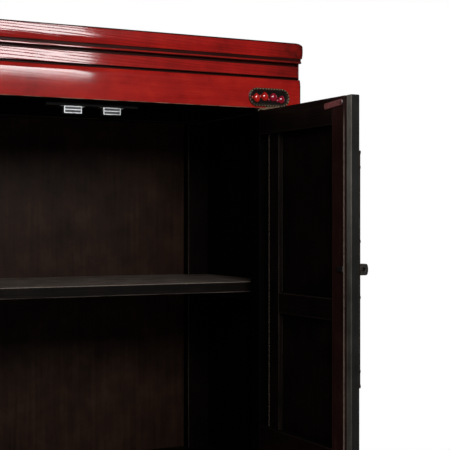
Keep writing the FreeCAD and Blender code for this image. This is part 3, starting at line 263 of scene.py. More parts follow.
def finish_layers(tree, grain, colours, worn, cracks):
    """The colour of a coat, its masks of cracks and worn edges, its streaks, its place and its place
    along the grain. colours holds four hex values, dark to light."""
    shades = colours.split()
    place = add(tree, "TexCoord").outputs["Object"]
    along = add(tree, "Mapping", {"Vector": place, "Scale": GRAIN_SCALES[grain]})
    clouds = add(tree, "TexNoise", {"Vector": place, "Scale": per_mm(70), "Detail": 5.0,
                                    "Roughness": 0.62})
    streaks = add(tree, "TexNoise", {"Vector": along, "Scale": per_mm(8), "Detail": 6.0,
                                     "Roughness": 0.65})
    blend = add(tree, "Mix", {0: 0.4, 2: clouds, 3: streaks})
    colour = add(tree, "ValToRGB", [blend], stops=zip(STOP_PLACES, shades))
    # Real hair cracks are a tenth of a millimetre wide. They are drawn about one millimetre wide and
    # seven apart, because one pixel of the picture covers more than two millimetres.
    bands = add(tree, "TexWave", {"Vector": along, "Scale": per_mm(11), "Distortion": 5.0,
                                  "Detail": 2.0, "Detail Scale": 0.6},
                bands_direction="DIAGONAL")
    hair = add(tree, "MapRange", (bands.outputs["Fac"], 0.04, 0.26, 1.0, 0.0))
    patchy = add(tree, "MapRange", (streaks, 0.34, 0.46))
    crack = join(tree, "MULTIPLY", hair, patchy, cracks)
    tint = add(tree, "Math", (crack, 0.45), operation="MULTIPLY")
    cracked = add(tree, "Mix", {0: tint, 6: colour, 7: srgb(shades[0])}, data_type="RGBA")
    round_edge = add(tree, "Bevel", [EDGE_RADIUS], samples=6)
    normal = add(tree, "NewGeometry").outputs["Normal"]
    facing = add(tree, "VectorMath", (round_edge, normal), operation="DOT_PRODUCT").outputs["Value"]
    nick = add(tree, "TexNoise", {"Vector": along, "Scale": per_mm(9), "Detail": 5.0})
    rub = join(tree, "MULTIPLY", add(tree, "MapRange", (facing, 0.995, 0.87)),
               add(tree, "MapRange", (nick, 0.3, 0.5)))
    final = add(tree, "Mix", {0: rub, 6: cracked.outputs[2], 7: srgb(worn)}, data_type="RGBA")
    return final.outputs[2], crack, rub, streaks, place, along


def near(tree, value, middle, half, fade=1.2 * MM):
    """1 where a coordinate is within half of middle, with a soft edge."""
    away = add(tree, "Math", (value, middle), operation="SUBTRACT")
    away = add(tree, "Math", [away], operation="ABSOLUTE")
    return add(tree, "MapRange", (away, half, half + fade, 1.0, 0.0))


def paint_shade_and_grime(tree, colour, place):
    """Paints shade into hollows, corners and grooves, darkens the cornice's crest, and adds dirt to the bar
    ends.
    """
    x, y, z = add(tree, "SeparateXYZ", [place]).outputs
    across = add(tree, "Math", [x], operation="ABSOLUTE")
    smudge = add(tree, "TexNoise", {"Vector": place, "Scale": per_mm(26), "Detail": 3.0})
    ends = join(
        tree, "MULTIPLY",
        add(tree, "MapRange", (across, BAR_END - 110 * MM, BAR_END, 0.0, 0.9)),
        add(tree, "MapRange", (smudge, 0.35, 0.6, 0.45, 1.0)),
        add(tree, "MapRange", (z, CREST - 110 * MM, CREST - 40 * MM, 0.06, 1.0)),
        add(tree, "MapRange", (y, BAR_FRONT + 20 * MM, BAR_FRONT + 100 * MM, 1.0, 0.2)))
    rim = near(tree, across, BAR_END - 1.4 * MM, 0.6 * MM, 0.7 * MM)
    crest = join(
        tree, "MULTIPLY",
        add(tree, "MapRange", (z, CREST - 4.8 * MM, CREST - 2.2 * MM, 0.0, 0.96)),
        add(tree, "MapRange", (y, BAR_FRONT + 4 * MM, BAR_FRONT + 12 * MM, 1.0, 0.4)))
    # Painted shade: ambient occlusion darkens hollows and inner corners.
    corner = add(tree, "AmbientOcclusion", {"Distance": 9 * MM}, samples=6, only_local=True)
    hollow = add(tree, "MapRange", (corner.outputs["AO"], 0.45, 0.8, 0.92, 0.0))
    # Painted shade in bands along the frieze's grooves and the cornice's hollow.
    groove_shade = [join(tree, "MULTIPLY", near(tree, z, middle, half), 0.95) for middle, half in SHADED_GROOVES]
    dark = join(tree, "MAXIMUM", ends, rim, crest, hollow, *groove_shade)
    mixed = add(tree, "Mix", {0: dark, 6: colour, 7: srgb(SHADE_AND_GRIME)}, data_type="RGBA")
    return mixed.outputs[2], dark


def lacquer(name, grain, colours=RED, worn="#3A1A12", cracks=1.0, roughness=0.3, shine=0.06,
            coat=1.0, coat_roughness=0.06, second=None, second_worn="#6B5A52", mask=None,
            shade_and_grime=False, relief=0.25, wear_and_highlight=None, wear_and_highlight_colour=None):
    """Old lacquer or stain on wood; a second coat where mask is 1; pale wear, partly a painted highlight,
    where wear_and_highlight is.
    """
    material = new_material(name)
    tree = material.node_tree
    colour, crack, rub, streak, place, along = finish_layers(tree, grain, colours, worn, cracks)
    gloss = coat
    for dull, loss in ((crack, -0.95), (rub, -0.7)):
        gloss = add(tree, "Math", (dull, loss * coat, gloss), operation="MULTIPLY_ADD")
    if shade_and_grime:
        # Painted shade in hollows and grooves, the darkened crest and the dirt on the bar ends darken the
        # colour and dull the gloss.
        colour, dark = paint_shade_and_grime(tree, colour, place)
        gloss = add(tree, "Math", (dark, -1.05 * coat, gloss), operation="MULTIPLY_ADD", use_clamp=True)
    rough = add(tree, "MapRange", (streak, 0.3, 0.7, roughness - 0.07, roughness + 0.1))
    for dull in (crack, rub):
        rough = add(tree, "Math", (dull, 0.25, rough), operation="MULTIPLY_ADD")
    if second:
        inside = mask(tree, place, *add(tree, "SeparateXYZ", [place]).outputs)
        other, *_ = finish_layers(tree, grain, second, second_worn, 0.2)
        colour = add(tree, "Mix", {0: inside, 6: colour, 7: other}, data_type="RGBA").outputs[2]
        rough = add(tree, "Math", (inside, 0.15, rough), operation="MULTIPLY_ADD")
        gloss = add(tree, "Math", (inside, -coat, gloss), operation="MULTIPLY_ADD", use_clamp=True)
    # A paler colour: worn wood, and on some pieces a painted highlight line.
    if wear_and_highlight:
        pale_mark = wear_and_highlight(tree, place, *add(tree, "SeparateXYZ", [place]).outputs)
        colour = add(tree, "Mix", {0: pale_mark, 6: colour, 7: srgb(wear_and_highlight_colour)}, data_type="RGBA").outputs[2]
    wave = add(tree, "TexNoise", {"Vector": along, "Scale": per_mm(15), "Detail": 1.0})
    height = add(tree, "Math", (wave, 0.6, streak), operation="MULTIPLY_ADD")
    height = add(tree, "Math", (crack, -0.8, height), operation="MULTIPLY_ADD")
    bump = add(tree, "Bump", {"Strength": relief, "Distance": 0.5 * MM, "Height": height})
    surface = add(tree, "BsdfPrincipled", {
        "Base Color": colour, "Roughness": rough, "IOR": 1.5, "Specular IOR Level": shine,
        "Coat Weight": gloss, "Coat Roughness": coat_roughness, "Coat IOR": 1.73,
        "Normal": bump, "Coat Normal": bump,
    })
    add(tree, "OutputMaterial", [surface])
    return material


print("height of the cornice's crest in mm:", round(CREST / MM, 1))

# %% [markdown]
# The masks say where one finish gives way to another. On the carcass the stain covers the space inside the
# boards, and on a door everything but the outer face. Others mark where hands or dust have been, and
# where a highlight line or a darker lower part is painted. All use the object's own coordinates, so a
# door keeps its finish when it swings: each gets the place and its three parts.

# %% The masks
FACE_SLACK = 1.2 * MM
PANEL_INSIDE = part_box("side_panels_right")[0][0]
OPENING_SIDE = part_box("front_post_right")[0][0]
DOOR_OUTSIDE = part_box("free_stile_right")[1][0]
BACK_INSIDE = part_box("back_panel")[0][1]
FRONT_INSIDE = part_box("front_post_right")[1][1]
UNDER_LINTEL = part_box("lintel")[0][2]
OVER_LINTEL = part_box("lintel")[1][2]
SHELF_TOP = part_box("shelf")[1][2]
LAP_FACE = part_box("lap_strip")[0][0]
LAP_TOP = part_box("lap_strip")[1][2]


def inside_carcass(tree, place, x, y, z):
    """1 inside the cabinet and 0 outside it."""
    across = add(tree, "Math", [x], operation="ABSOLUTE")
    room = add(tree, "Math", (across, PANEL_INSIDE + FACE_SLACK), operation="LESS_THAN")
    deep = add(tree, "Math", (y, FRONT_INSIDE - FACE_SLACK), operation="GREATER_THAN")
    jamb = add(tree, "Math", (across, OPENING_SIDE + FACE_SLACK), operation="LESS_THAN")
    before_back = add(tree, "Math", (y, BACK_INSIDE + FACE_SLACK), operation="LESS_THAN")
    below_top = add(tree, "Math", (z, OVER_LINTEL - FACE_SLACK), operation="LESS_THAN")
    room = join(tree, "MAXIMUM", join(tree, "MULTIPLY", room, deep), jamb)
    return join(tree, "MULTIPLY", room, before_back, below_top)


def inside_door(tree, place, x, y, z):
    """0 on a door's outer face and 1 on its other sides."""
    across = add(tree, "Math", [x], operation="ABSOLUTE")
    return add(tree, "Math", (across, DOOR_OUTSIDE - FACE_SLACK), operation="LESS_THAN")


def behind_lap(tree, place, x, y, z):
    """1 on a lap strip except on its inner face, which is worn grey and is painted darker towards the
    bottom.
    """
    joint = near(tree, y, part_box("free_stile_right")[0][1], 2 * MM)
    behind = add(tree, "Math", (x, LAP_FACE + FACE_SLACK), operation="GREATER_THAN")
    # The inner face turns partly dark towards the bottom.
    level = add(tree, "MapRange", (z, LAP_TOP - 450 * MM, LAP_TOP - 150 * MM, 0.6, 0.0))
    return join(tree, "MAXIMUM", behind, joint, level)


def under_bar(tree, place, x, y, z):
    """1 on the lintel's under side and back, which get the dark stain."""
    low = add(tree, "Math", (z, UNDER_LINTEL + FACE_SLACK / 2), operation="LESS_THAN")
    deep = add(tree, "Math", (y, FRONT_INSIDE - FACE_SLACK), operation="GREATER_THAN")
    return join(tree, "MAXIMUM", low, deep)


def bar_edge(tree, place, x, y, z):
    """1 in broken dashes along the lintel's lower front arris."""
    dashes = add(tree, "TexNoise", {"Vector": place, "Scale": per_mm(30), "Detail": 4.0})
    return join(tree, "MULTIPLY", near(tree, z, UNDER_LINTEL, 0.8 * MM),
                near(tree, y, LINTEL_FRONT, 5 * MM),
                add(tree, "MapRange", (dashes, 0.42, 0.58, 0.15, 1.0)))


def arris_wear_and_highlight(tree, place, x, y, z):
    """1 on the worn inner arris of the right free stile, also a painted highlight, fading out below the
    door's top.
    """
    low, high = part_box("free_stile_right")
    rubs = add(tree, "TexNoise", {"Vector": place, "Scale": per_mm(14), "Detail": 4.0})
    return join(tree, "MULTIPLY", near(tree, x, low[0], 3.6 * MM),
                near(tree, y, low[1] + 8.8 * MM, 2 * MM),
                add(tree, "MapRange", (z, high[2] - 75 * MM, high[2] - 30 * MM, 1.0, 0.12)),
                add(tree, "MapRange", (rubs, 0.3, 0.55, 0.55, 1.0)))


def batten_highlight_line(tree, place, x, y, z):
    """1 on a line along the upright batten next to the hinge stile: a painted highlight on its worn arris.
    """
    return near(tree, y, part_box("upright_batten_right")[1][1], 3 * MM)


def shelf_top(tree, place, x, y, z):
    """1 on the shelf's upper side, where dust lies."""
    return add(tree, "Math", (z, SHELF_TOP - FACE_SLACK), operation="GREATER_THAN")


print("room between the side panels in mm:", round(2 * PANEL_INSIDE / MM, 1))

# %% [markdown]
# The bars in front keep the deepest gloss, the posts, sides and doors are duller, and the inside is stain
# without a coat. Dust greys the shelf, and the catch batten under the lintel and the inside of the hinge
# stiles are painted near black as shade. Hands have worn the lap and the arris of the right door; that arris
# and the upright batten also carry a painted highlight line, and the lap turns darker towards the bottom.
# The drops are smooth lacquer in two reds, and the gilt and the leaf are rubbed thin over brown.

# %% The wood finishes
finishes = {}
STAIN = {"colours": DARK, "cracks": 0.2, "roughness": 0.45, "shine": 0.1, "coat": 0.0}
DROP_COAT = {"cracks": 0.2, "roughness": 0.25, "coat_roughness": 0.05}
for grain in "xyz":
    finishes["red_" + grain] = lacquer("old_red_lacquer_" + grain, grain, shade_and_grime=True, relief=0.12)
    finishes["carcass_" + grain] = lacquer(
        "red_lacquer_stained_inside_" + grain, grain, second=DARK, mask=inside_carcass,
        coat=0.55, coat_roughness=0.16, relief=0.1)
    finishes["door_" + grain] = lacquer(
        "door_lacquer_stained_inside_" + grain, grain, second=DARK, second_worn="#2A201D",
        mask=inside_door, shine=0.05, coat=0.6, coat_roughness=0.12, relief=0.1)
    finishes["stain_" + grain] = lacquer("dark_stained_wood_" + grain, grain, worn="#3A302B", **STAIN)
finishes["lintel_x"] = lacquer(
    "red_lacquer_bar_dark_below_x", "x", colours=BAR_RED, second=DARK, second_worn="#4A352A",
    mask=under_bar, shade_and_grime=True, cracks=0.3, relief=0.03, coat_roughness=0.055, wear_and_highlight=bar_edge,
    wear_and_highlight_colour="#8E6454")
finishes["brown_x"] = lacquer(
    "dusty_shelf_x", "x", second="#3A312C #544A44 #685D56 #7C7068",
    second_worn="#857A72", worn="#7A6C63", mask=shelf_top, **{**STAIN, "cracks": 0.6})
finishes["brown_z"] = lacquer("brown_stained_board_z", "z", worn="#4A3D37",
                              **{**STAIN, "colours": BROWN})
# The catch batten under the lintel is painted near black as shade.
finishes["soot_x"] = lacquer("shade_black_batten_x", "x", worn="#1C1815", **{**STAIN, "colours": SHADE_BLACK})
# The free stile's inner arris carries a worn line that is also a painted highlight.
finishes["edge_z"] = lacquer(
    "worn_stile_edge_with_highlight", "z", second="#150A08 #20100D #281512 #341F19",
    second_worn="#4A3D37", mask=inside_door, wear_and_highlight=arris_wear_and_highlight, wear_and_highlight_colour="#7C7066")
# The inside of the hinge stile is painted near black as shade.
finishes["hinge_z"] = lacquer("hinge_stile_sooty_inside", "z", second=SHADE_BLACK, second_worn="#0E0B0A",
                              mask=inside_door, shine=0.01)
# The batten's arris line is a painted highlight.
finishes["batten_z"] = lacquer("upright_batten_with_highlight", "z", worn="#3A302B", wear_and_highlight=batten_highlight_line,
                               wear_and_highlight_colour="#6E6256", **STAIN)
finishes["carved"] = lacquer(
    "dark_carved_rim", "x", colours="#080706 #12100D #1E1A15 #342A20",
    worn="#5A4A3A", cracks=0.5, roughness=0.35, coat=0.3, coat_roughness=0.15)
finishes["lap_z"] = lacquer(
    "grey_worn_lap", "z", colours="#3E3C37 #5C5A54 #706E67 #858279", cracks=0.3,
    roughness=0.45, coat=0.0, shine=0.15, second="#0C0C0B #151514 #1B1B1A #232322",
    second_worn="#2C2A28", mask=behind_lap)
finishes["gilt"] = lacquer(
    "worn_gilt_on_brown", "x", colours="#241D15 #44382A #6E5E44 #8E7C5C",
    worn="#98866A", cracks=0.5, roughness=0.35, coat=0.35, coat_roughness=0.15)
finishes["leaf"] = lacquer(
    "rubbed_leaf", "x", colours="#120D09 #2E2218 #5E4C3B #94806A", worn="#A89078",
    cracks=0.6, roughness=0.38, coat=0.3, coat_roughness=0.15)
finishes["scarlet"] = lacquer(
    "scarlet_lacquer_drops", "z", colours="#4A0906 #8E130E #AE1B13 #C02C1C",
    worn="#7E1810", **DROP_COAT)
finishes["crimson"] = lacquer(
    "crimson_lacquer_drops", "z", colours="#38050C #6E0C1A #8E1228 #A02038",
    worn="#6E1020", **DROP_COAT)
print("wood finishes:", sorted(finishes))

# %% [markdown]
# ## Metals
# Old yellow brass is on the lock plates, black forged iron makes the staples, and the modern catches are
# bright aluminium, zinc-plated steel and a black ferrite magnet. A metal keeps the default IOR. What tells
# them apart is the colour, the roughness and the size of the marks on them.

# %% Metals and ferrite
def metal(name, colours, roughness, spread, grain_mm, metallic=1.0, bump_mm=0.1):
    """A metal whose colour and roughness wander with marks of grain_mm."""
    material = new_material(name)
    tree = material.node_tree
    place = add(tree, "TexCoord").outputs["Object"]
    marks = add(tree, "TexNoise", {"Vector": place, "Scale": per_mm(grain_mm), "Detail": 6.0,
                                   "Roughness": 0.6})
    stain = add(tree, "TexNoise", {"Vector": place, "Scale": per_mm(grain_mm * 9), "Detail": 4.0})
    blend = add(tree, "Mix", {0: 0.5, 2: marks, 3: stain})
    colour = add(tree, "ValToRGB", [blend], stops=zip((0.34, 0.5, 0.64), colours.split()))
    rough = add(tree, "MapRange", (blend, 0.35, 0.65, roughness + spread, roughness - spread))
    bump = add(tree, "Bump", {"Strength": 0.4, "Distance": bump_mm * MM, "Height": marks})
    surface = add(tree, "BsdfPrincipled", {
        "Base Color": colour, "Metallic": metallic, "Roughness": rough, "Normal": bump})
    add(tree, "OutputMaterial", [surface])
    return material


finishes["brass"] = metal("old_yellow_brass", "#2E2212 #6A5028 #96763C", 0.36, 0.1, 2.5)
finishes["iron"] = metal("forged_iron", "#343230 #555250 #726E6A", 0.55, 0.12, 1.6)
finishes["aluminium"] = metal("satin_aluminium", "#A8AAAB #C0C2C4 #D8DADB", 0.38, 0.06, 0.8,
                              bump_mm=0.03)
finishes["zinc"] = metal("zinc_plated_steel", "#8E8485 #B4AAAB #D2CACA", 0.4, 0.08, 1.5)
finishes["ferrite"] = metal("black_ferrite", "#28282A #38383A #4A4A4C", 0.55, 0.1, 0.9,
                            metallic=0.0)
print("all finishes:", len(finishes))

# %% [markdown]
# ## A finish for every CAD node
# A node whose shape is right keeps its mesh and only gets its material. The grain follows each board's
# length. A star in a name stands for left and right.

# %% Give the CAD nodes their finishes
NODES_OF = {
    "red_x": "apron cornice_front cornice_rear frieze pivot_block_* sill", "red_y": "cornice_*",
    "lintel_x": "lintel", "carcass_x": "rear_top_rail",
    "carcass_y": "side_bottom_rail_* side_middle_rail_* side_top_rail_*",
    "carcass_z": "front_post_* rear_post_* side_panels_*",
    "door_y": "door_bottom_rail_* door_top_rail_*",
    "door_z": "door_panel_* free_stile_* hinge_stile_* lap_strip",
    "stain_x": "floor_board front_floor_rail rear_bottom_rail top_panel",
    "stain_y": "cross_batten_*", "stain_z": "upright_batten_*", "brown_x": "shelf",
    "brown_z": "back_panel", "soot_x": "catch_batten", "brass": "lock_nails_* lock_plate_*",
    "iron": "lock_staple_*", "aluminium": "catch_housing_*", "ferrite": "catch_magnets",
    "zinc": "catch_screws strike_plate_* strike_screws_*",
}
finish_of = {name.replace("*", side): finish for finish, names in NODES_OF.items()
             for name in names.split() for side, _ in SIDES}
for node_name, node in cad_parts.items():
    node.data.materials.clear()
    node.data.materials.append(finishes[finish_of[node_name]])
print("CAD nodes with a finish:", len(finish_of))

# %% [markdown]
# ## Helpers for new pieces
# A new piece takes its place from a CAD node's box. A side can be given instead, for example where a rail's
# tenons run on inside a post and don't show. Every piece ends the same way: its normals are turned
# outwards, it gets its finish, it rides on a body, and the CAD nodes it stands for are hidden. Only narrow
# faces are shaded smooth, so that flat boards stay flat.

# %% Helpers for new pieces
# A hair over 6 mm: the cornice's worn corners have faces of just 6 mm, and so they are shaded smooth.
SMOOTH_WIDTH = 6.02 * MM


def span(node, **sides):
    """The lowest and highest corner of a node. x=(low, high) and so on give a side instead."""
    low, high = [list(corner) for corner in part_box(node)]
    for axis, pair in sides.items():
        index = "xyz".index(axis)
        low[index], high[index] = min(pair), max(pair)
    return low, high


def block_mesh(low, high):
    """A bmesh box between two corners."""
    bm = bmesh.new()
    bmesh.ops.create_cube(bm, size=1.0)
    bmesh.ops.scale(bm, vec=[b - a for a, b in zip(low, high)], verts=bm.verts)
    bmesh.ops.translate(bm, vec=[(a + b) / 2 for a, b in zip(low, high)], verts=bm.verts)
    return bm


def sharp(bm, degrees=57):
    """The edges whose two faces turn by more than that."""
    return [edge for edge in bm.edges
            if edge.is_manifold and edge.calc_face_angle() > math.radians(degrees)]


def ease(bm, items, width, segments=3, affect="EDGES"):
    """Rounds those edges or vertices over by width."""
    bmesh.ops.bevel(bm, geom=list(items), offset=width, affect=affect, segments=segments,
                    profile=0.5, material=-1)


def turn(bm, degrees, axis, verts=None, centre=(0, 0, 0)):
    """Turns those vertices, or all of them, about an axis through centre."""
    bmesh.ops.rotate(bm, cent=centre, matrix=Matrix.Rotation(math.radians(degrees), 3, axis),
                     verts=verts or bm.verts)


def finished(name, bm, finish, nodes=(), body="carcass", smooth=None, way=1):
    """Turns a bmesh into a piece that rides on a body and stands for those CAD nodes. smooth is the
    angle that stays sharp, in degrees, and a way of -1 mirrors the piece."""
    used = [finish] if isinstance(finish, str) else finish
    bmesh.ops.scale(bm, vec=(way, 1, 1), verts=bm.verts)
    bmesh.ops.recalc_face_normals(bm, faces=bm.faces)
    mesh = bpy.data.meshes.new(name)
    bm.to_mesh(mesh)
    bm.free()
    for one in used:
        mesh.materials.append(finishes[one])
    if smooth:
        mesh.shade_smooth()
        mesh.set_sharp_from_angle(angle=math.radians(smooth))
        for face in mesh.polygons:
            spots = [mesh.vertices[index].co for index in face.vertices]
            sides = sorted(max(s[axis] for s in spots) - min(s[axis] for s in spots)
                           for axis in range(3))
            face.use_smooth = sides[1] < SMOOTH_WIDTH
    piece = bpy.data.objects.new(name, mesh)
    bpy.context.scene.collection.objects.link(piece)
    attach(piece, body)
    if nodes:
        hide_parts(*nodes)


def board(node, finish, round_mm, body="carcass", **sides):
    """A plain board in a node's place, with every edge rounded."""
    bm = block_mesh(*span(node, **sides))
    ease(bm, bm.edges, round_mm * MM)
    finished(node + "_board", bm, finish, [node], body)


# %% [markdown]
# ## Posts, rails and battens
# Each of these is one planed board. On an old piece no edge is sharp: a plane and a hundred years of hands
# have rounded them. The boards could keep the CAD mesh, but then their edges would catch no light. So each
# is a box with every edge rounded by one or two millimetres. Hidden tenons are left out.

# %% The carcass boards
lintel_low, lintel_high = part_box("lintel")
rear_rail_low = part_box("rear_top_rail")[0]
between_doorposts = (-OPENING_SIDE, OPENING_SIDE)
between_posts = (FRONT_INSIDE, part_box("rear_post_right")[0][1])
for side in ("left", "right"):
    board(f"front_post_{side}", "carcass_z", 2.0, z=(0.0, lintel_low[2]))
    board(f"rear_post_{side}", "carcass_z", 2.0, z=(0.0, rear_rail_low[2]))
    board(f"side_top_rail_{side}", "carcass_y", 1.6, y=(lintel_high[1], rear_rail_low[1]))
    for level in ("middle", "bottom"):
        board(f"side_{level}_rail_{side}", "carcass_y", 1.6, y=between_posts)
board("rear_top_rail", "carcass_x", 1.6)
board("sill", "red_x", 2.0, x=between_doorposts)
board("front_floor_rail", "stain_x", 1.5, x=between_doorposts)
board("rear_bottom_rail", "stain_x", 1.5, x=between_doorposts)
board("catch_batten", "soot_x", 0.8)
print("width of the opening in mm:", round(2 * OPENING_SIDE / MM, 1))

# %% [markdown]
# ## Mouldings
# The cornice, the frieze and the lintel are long bars with a section that a joiner planed: a bead, a
# hollow, a swollen face. A section is drawn as a few corners in millimetres, depth inwards and height
# upwards. Bevelling single corners with several segments turns them into arcs, and one extrusion makes the
# bar. The cornice is then cut at 45 degrees with a plane, as a mitre saw would do, and its front corners
# are worn down a little.

# %% A bar from a section
def rounded_sheet(corners):
    """A flat face. corners are (place, radius in mm), and each corner is rounded by its radius."""
    bm = bmesh.new()
    placed = {}
    for place, radius in corners:
        placed.setdefault(radius, []).append(bm.verts.new(place))
    bm.faces.new(bm.verts[:])
    for radius, verts in placed.items():
        if radius:
            ease(bm, verts, radius * MM, 8, "VERTICES")
    return bm


def push(bm, way):
    """Pushes the faces of a flat sheet out to a closed solid and gives the vertices that moved."""
    grown = bmesh.ops.extrude_face_region(bm, geom=bm.faces[:])
    moved = [item for item in grown["geom"] if isinstance(item, bmesh.types.BMVert)]
    bmesh.ops.translate(bm, vec=way, verts=moved)
    return moved


def section_bar(corners, start, end, front, bottom):
    """A bar along X. corners are (depth, height, radius) in mm from the front plane and the bottom."""
    bm = rounded_sheet([((start, front + depth * MM, bottom + height * MM), radius)
                        for depth, height, radius in corners])
    push(bm, (end - start, 0, 0))
    return bm


def saw(bm, point, normal, drop=True):
    """Cuts with a plane. With drop, what lies on the normal's side goes, and the cut is closed."""
    bmesh.ops.bisect_plane(bm, geom=bm.verts[:] + bm.edges[:] + bm.faces[:], dist=1e-6,
                           plane_co=point, plane_no=normal, clear_outer=drop)
    if drop:
        bmesh.ops.holes_fill(bm, edges=[edge for edge in bm.edges if edge.is_boundary])


CORNICE_SECTION = [
    (60, 3, 0), (1.9, 3, 0.8), (2.4, 7.4, 0.6), (3.2, 7.8, 0), (3.2, 14.4, 0), (1.0, 14.9, 0.8),
    (-1.2, 33, 9), (0.6, 54.6, 2.4), (60, 54.6, 0),
]
WORN_LENGTHS = (18 * MM, 12 * MM, 7 * MM, 3 * MM)
WORN_DROP = 5.5 * MM
cornice_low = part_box("cornice_front")[0]
half, cornice_back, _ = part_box("cornice_right")[1]


def wear_corners(bm):
    """Lowers the cornice's upper edge a little towards its front corners."""
    for length in WORN_LENGTHS:
        saw(bm, (half - length, 0, 0), (1, 0, 0), drop=False)
        saw(bm, (length - half, 0, 0), (1, 0, 0), drop=False)
        saw(bm, (0, cornice_low[1] + length, 0), (0, 1, 0), drop=False)
    for vert in bm.verts:
        away = max(half - abs(vert.co.x), vert.co.y - cornice_low[1])
        if vert.co.z > CREST - 3 * MM and away < WORN_LENGTHS[0]:
            vert.co.z -= WORN_DROP * (1 - max(away, 0.0) / WORN_LENGTHS[0]) ** 2


bm = section_bar(CORNICE_SECTION, -half, half, cornice_low[1], cornice_low[2])
for _, way in SIDES:
    saw(bm, (way * half, cornice_low[1], 0), (way, 1, 0))
wear_corners(bm)
finished("cornice_front_moulding", bm, "red_x", ["cornice_front"], smooth=32)
for side, way in SIDES:
    bm = section_bar(CORNICE_SECTION, cornice_low[1], cornice_back, -half, cornice_low[2])
    turn(bm, 90, "Z")
    saw(bm, (half, cornice_low[1], 0), (-1, -1, 0))
    wear_corners(bm)
    finished(f"cornice_{side}_moulding", bm, "red_y", [f"cornice_{side}"], smooth=32, way=way)
rear_low, rear_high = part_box("cornice_rear")
board("cornice_rear", "red_x", 1.5, z=(rear_low[2] + 3 * MM, rear_high[2] + CREST_RISE))

LINTEL_SECTION = [
    (60, 0, 1.5), (0.1, 0, 1.2), (-0.2, 69, 7), (3.6, 78, 0.4), (60, 78, 0.4),
]
bm = section_bar(LINTEL_SECTION, lintel_low[0], lintel_high[0], lintel_low[1], lintel_low[2])
finished("lintel_rail", bm, "lintel_x", ["lintel"], smooth=32)

FRIEZE_SECTION = [
    (57, 0, 0), (8, 0, 0), (8, 4.8, 0), (0, 4.8, 0.9), (0, 34, 0.9), (8, 34, 0),
    (8, 42.2, 0), (57, 42.2, 0),
]
FRIEZE_STOP = 5 * MM
frieze_low, frieze_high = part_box("frieze")
bar_end = frieze_high[0] - FRIEZE_STOP + 0.7 * MM
bm = section_bar(FRIEZE_SECTION, -bar_end, bar_end, frieze_low[1], frieze_low[2])
finished("frieze_board", bm, "red_x", ["frieze"], smooth=32)
for side, way in SIDES:
    bm = block_mesh(*span("frieze", x=(way * frieze_high[0], way * (frieze_high[0] - FRIEZE_STOP)),
                          z=(frieze_low[2], frieze_high[2] + 3.1 * MM)))
    ease(bm, bm.edges, 0.8 * MM, 2)
    finished(f"frieze_stop_{side}", bm, "red_x")
print("mouldings made, cornice half length in mm:", round(half / MM, 1))

# %% [markdown]
# ## Boards with notches
# The shelf, the floor, the apron and the top board have notches and curved cuts. Here a copy of the CAD
# mesh is the best start: its loose triangles are merged, flat ones joined, and then every outer edge is
# rounded a little.

# %% Ease a copy of a CAD node
def eased_copy(node, width):
    """A merged copy of a CAD node's mesh with its outer edges rounded."""
    bm = bmesh.new()
    bm.from_mesh(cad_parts[node].data)
    bmesh.ops.remove_doubles(bm, verts=bm.verts, dist=0.02 * MM)
    bmesh.ops.dissolve_limit(bm, angle_limit=math.radians(1), verts=bm.verts, edges=bm.edges)
    ease(bm, [edge for edge in sharp(bm, 50) if edge.is_convex], width, 2)
    return bm


for node_name, finish, body in (
    ("shelf", "brown_x", "carcass"), ("floor_board", "stain_x", "carcass"),
    ("apron", "red_x", "carcass"), ("top_panel", "stain_x", "carcass"),
    ("free_stile_left", "door_z", "door_left"),
):
    bm = eased_copy(node_name, 0.9 * MM)
    print(node_name, "faces after easing:", len(bm.faces))
    finished(node_name + "_eased", bm, finish, [node_name], body)

# %% [markdown]
# ## Door leaves
# A leaf is a frame of two stiles and two rails round a panel that is flush outside. Inside, an upright
# batten and a cross batten are nailed on. The hinge stile has a fully round edge, because it turns about
# its own dowels in a hole of the lintel: bevelling two edges by half the thickness gives that half round.
# The right free stile is worn rounder at its free end.

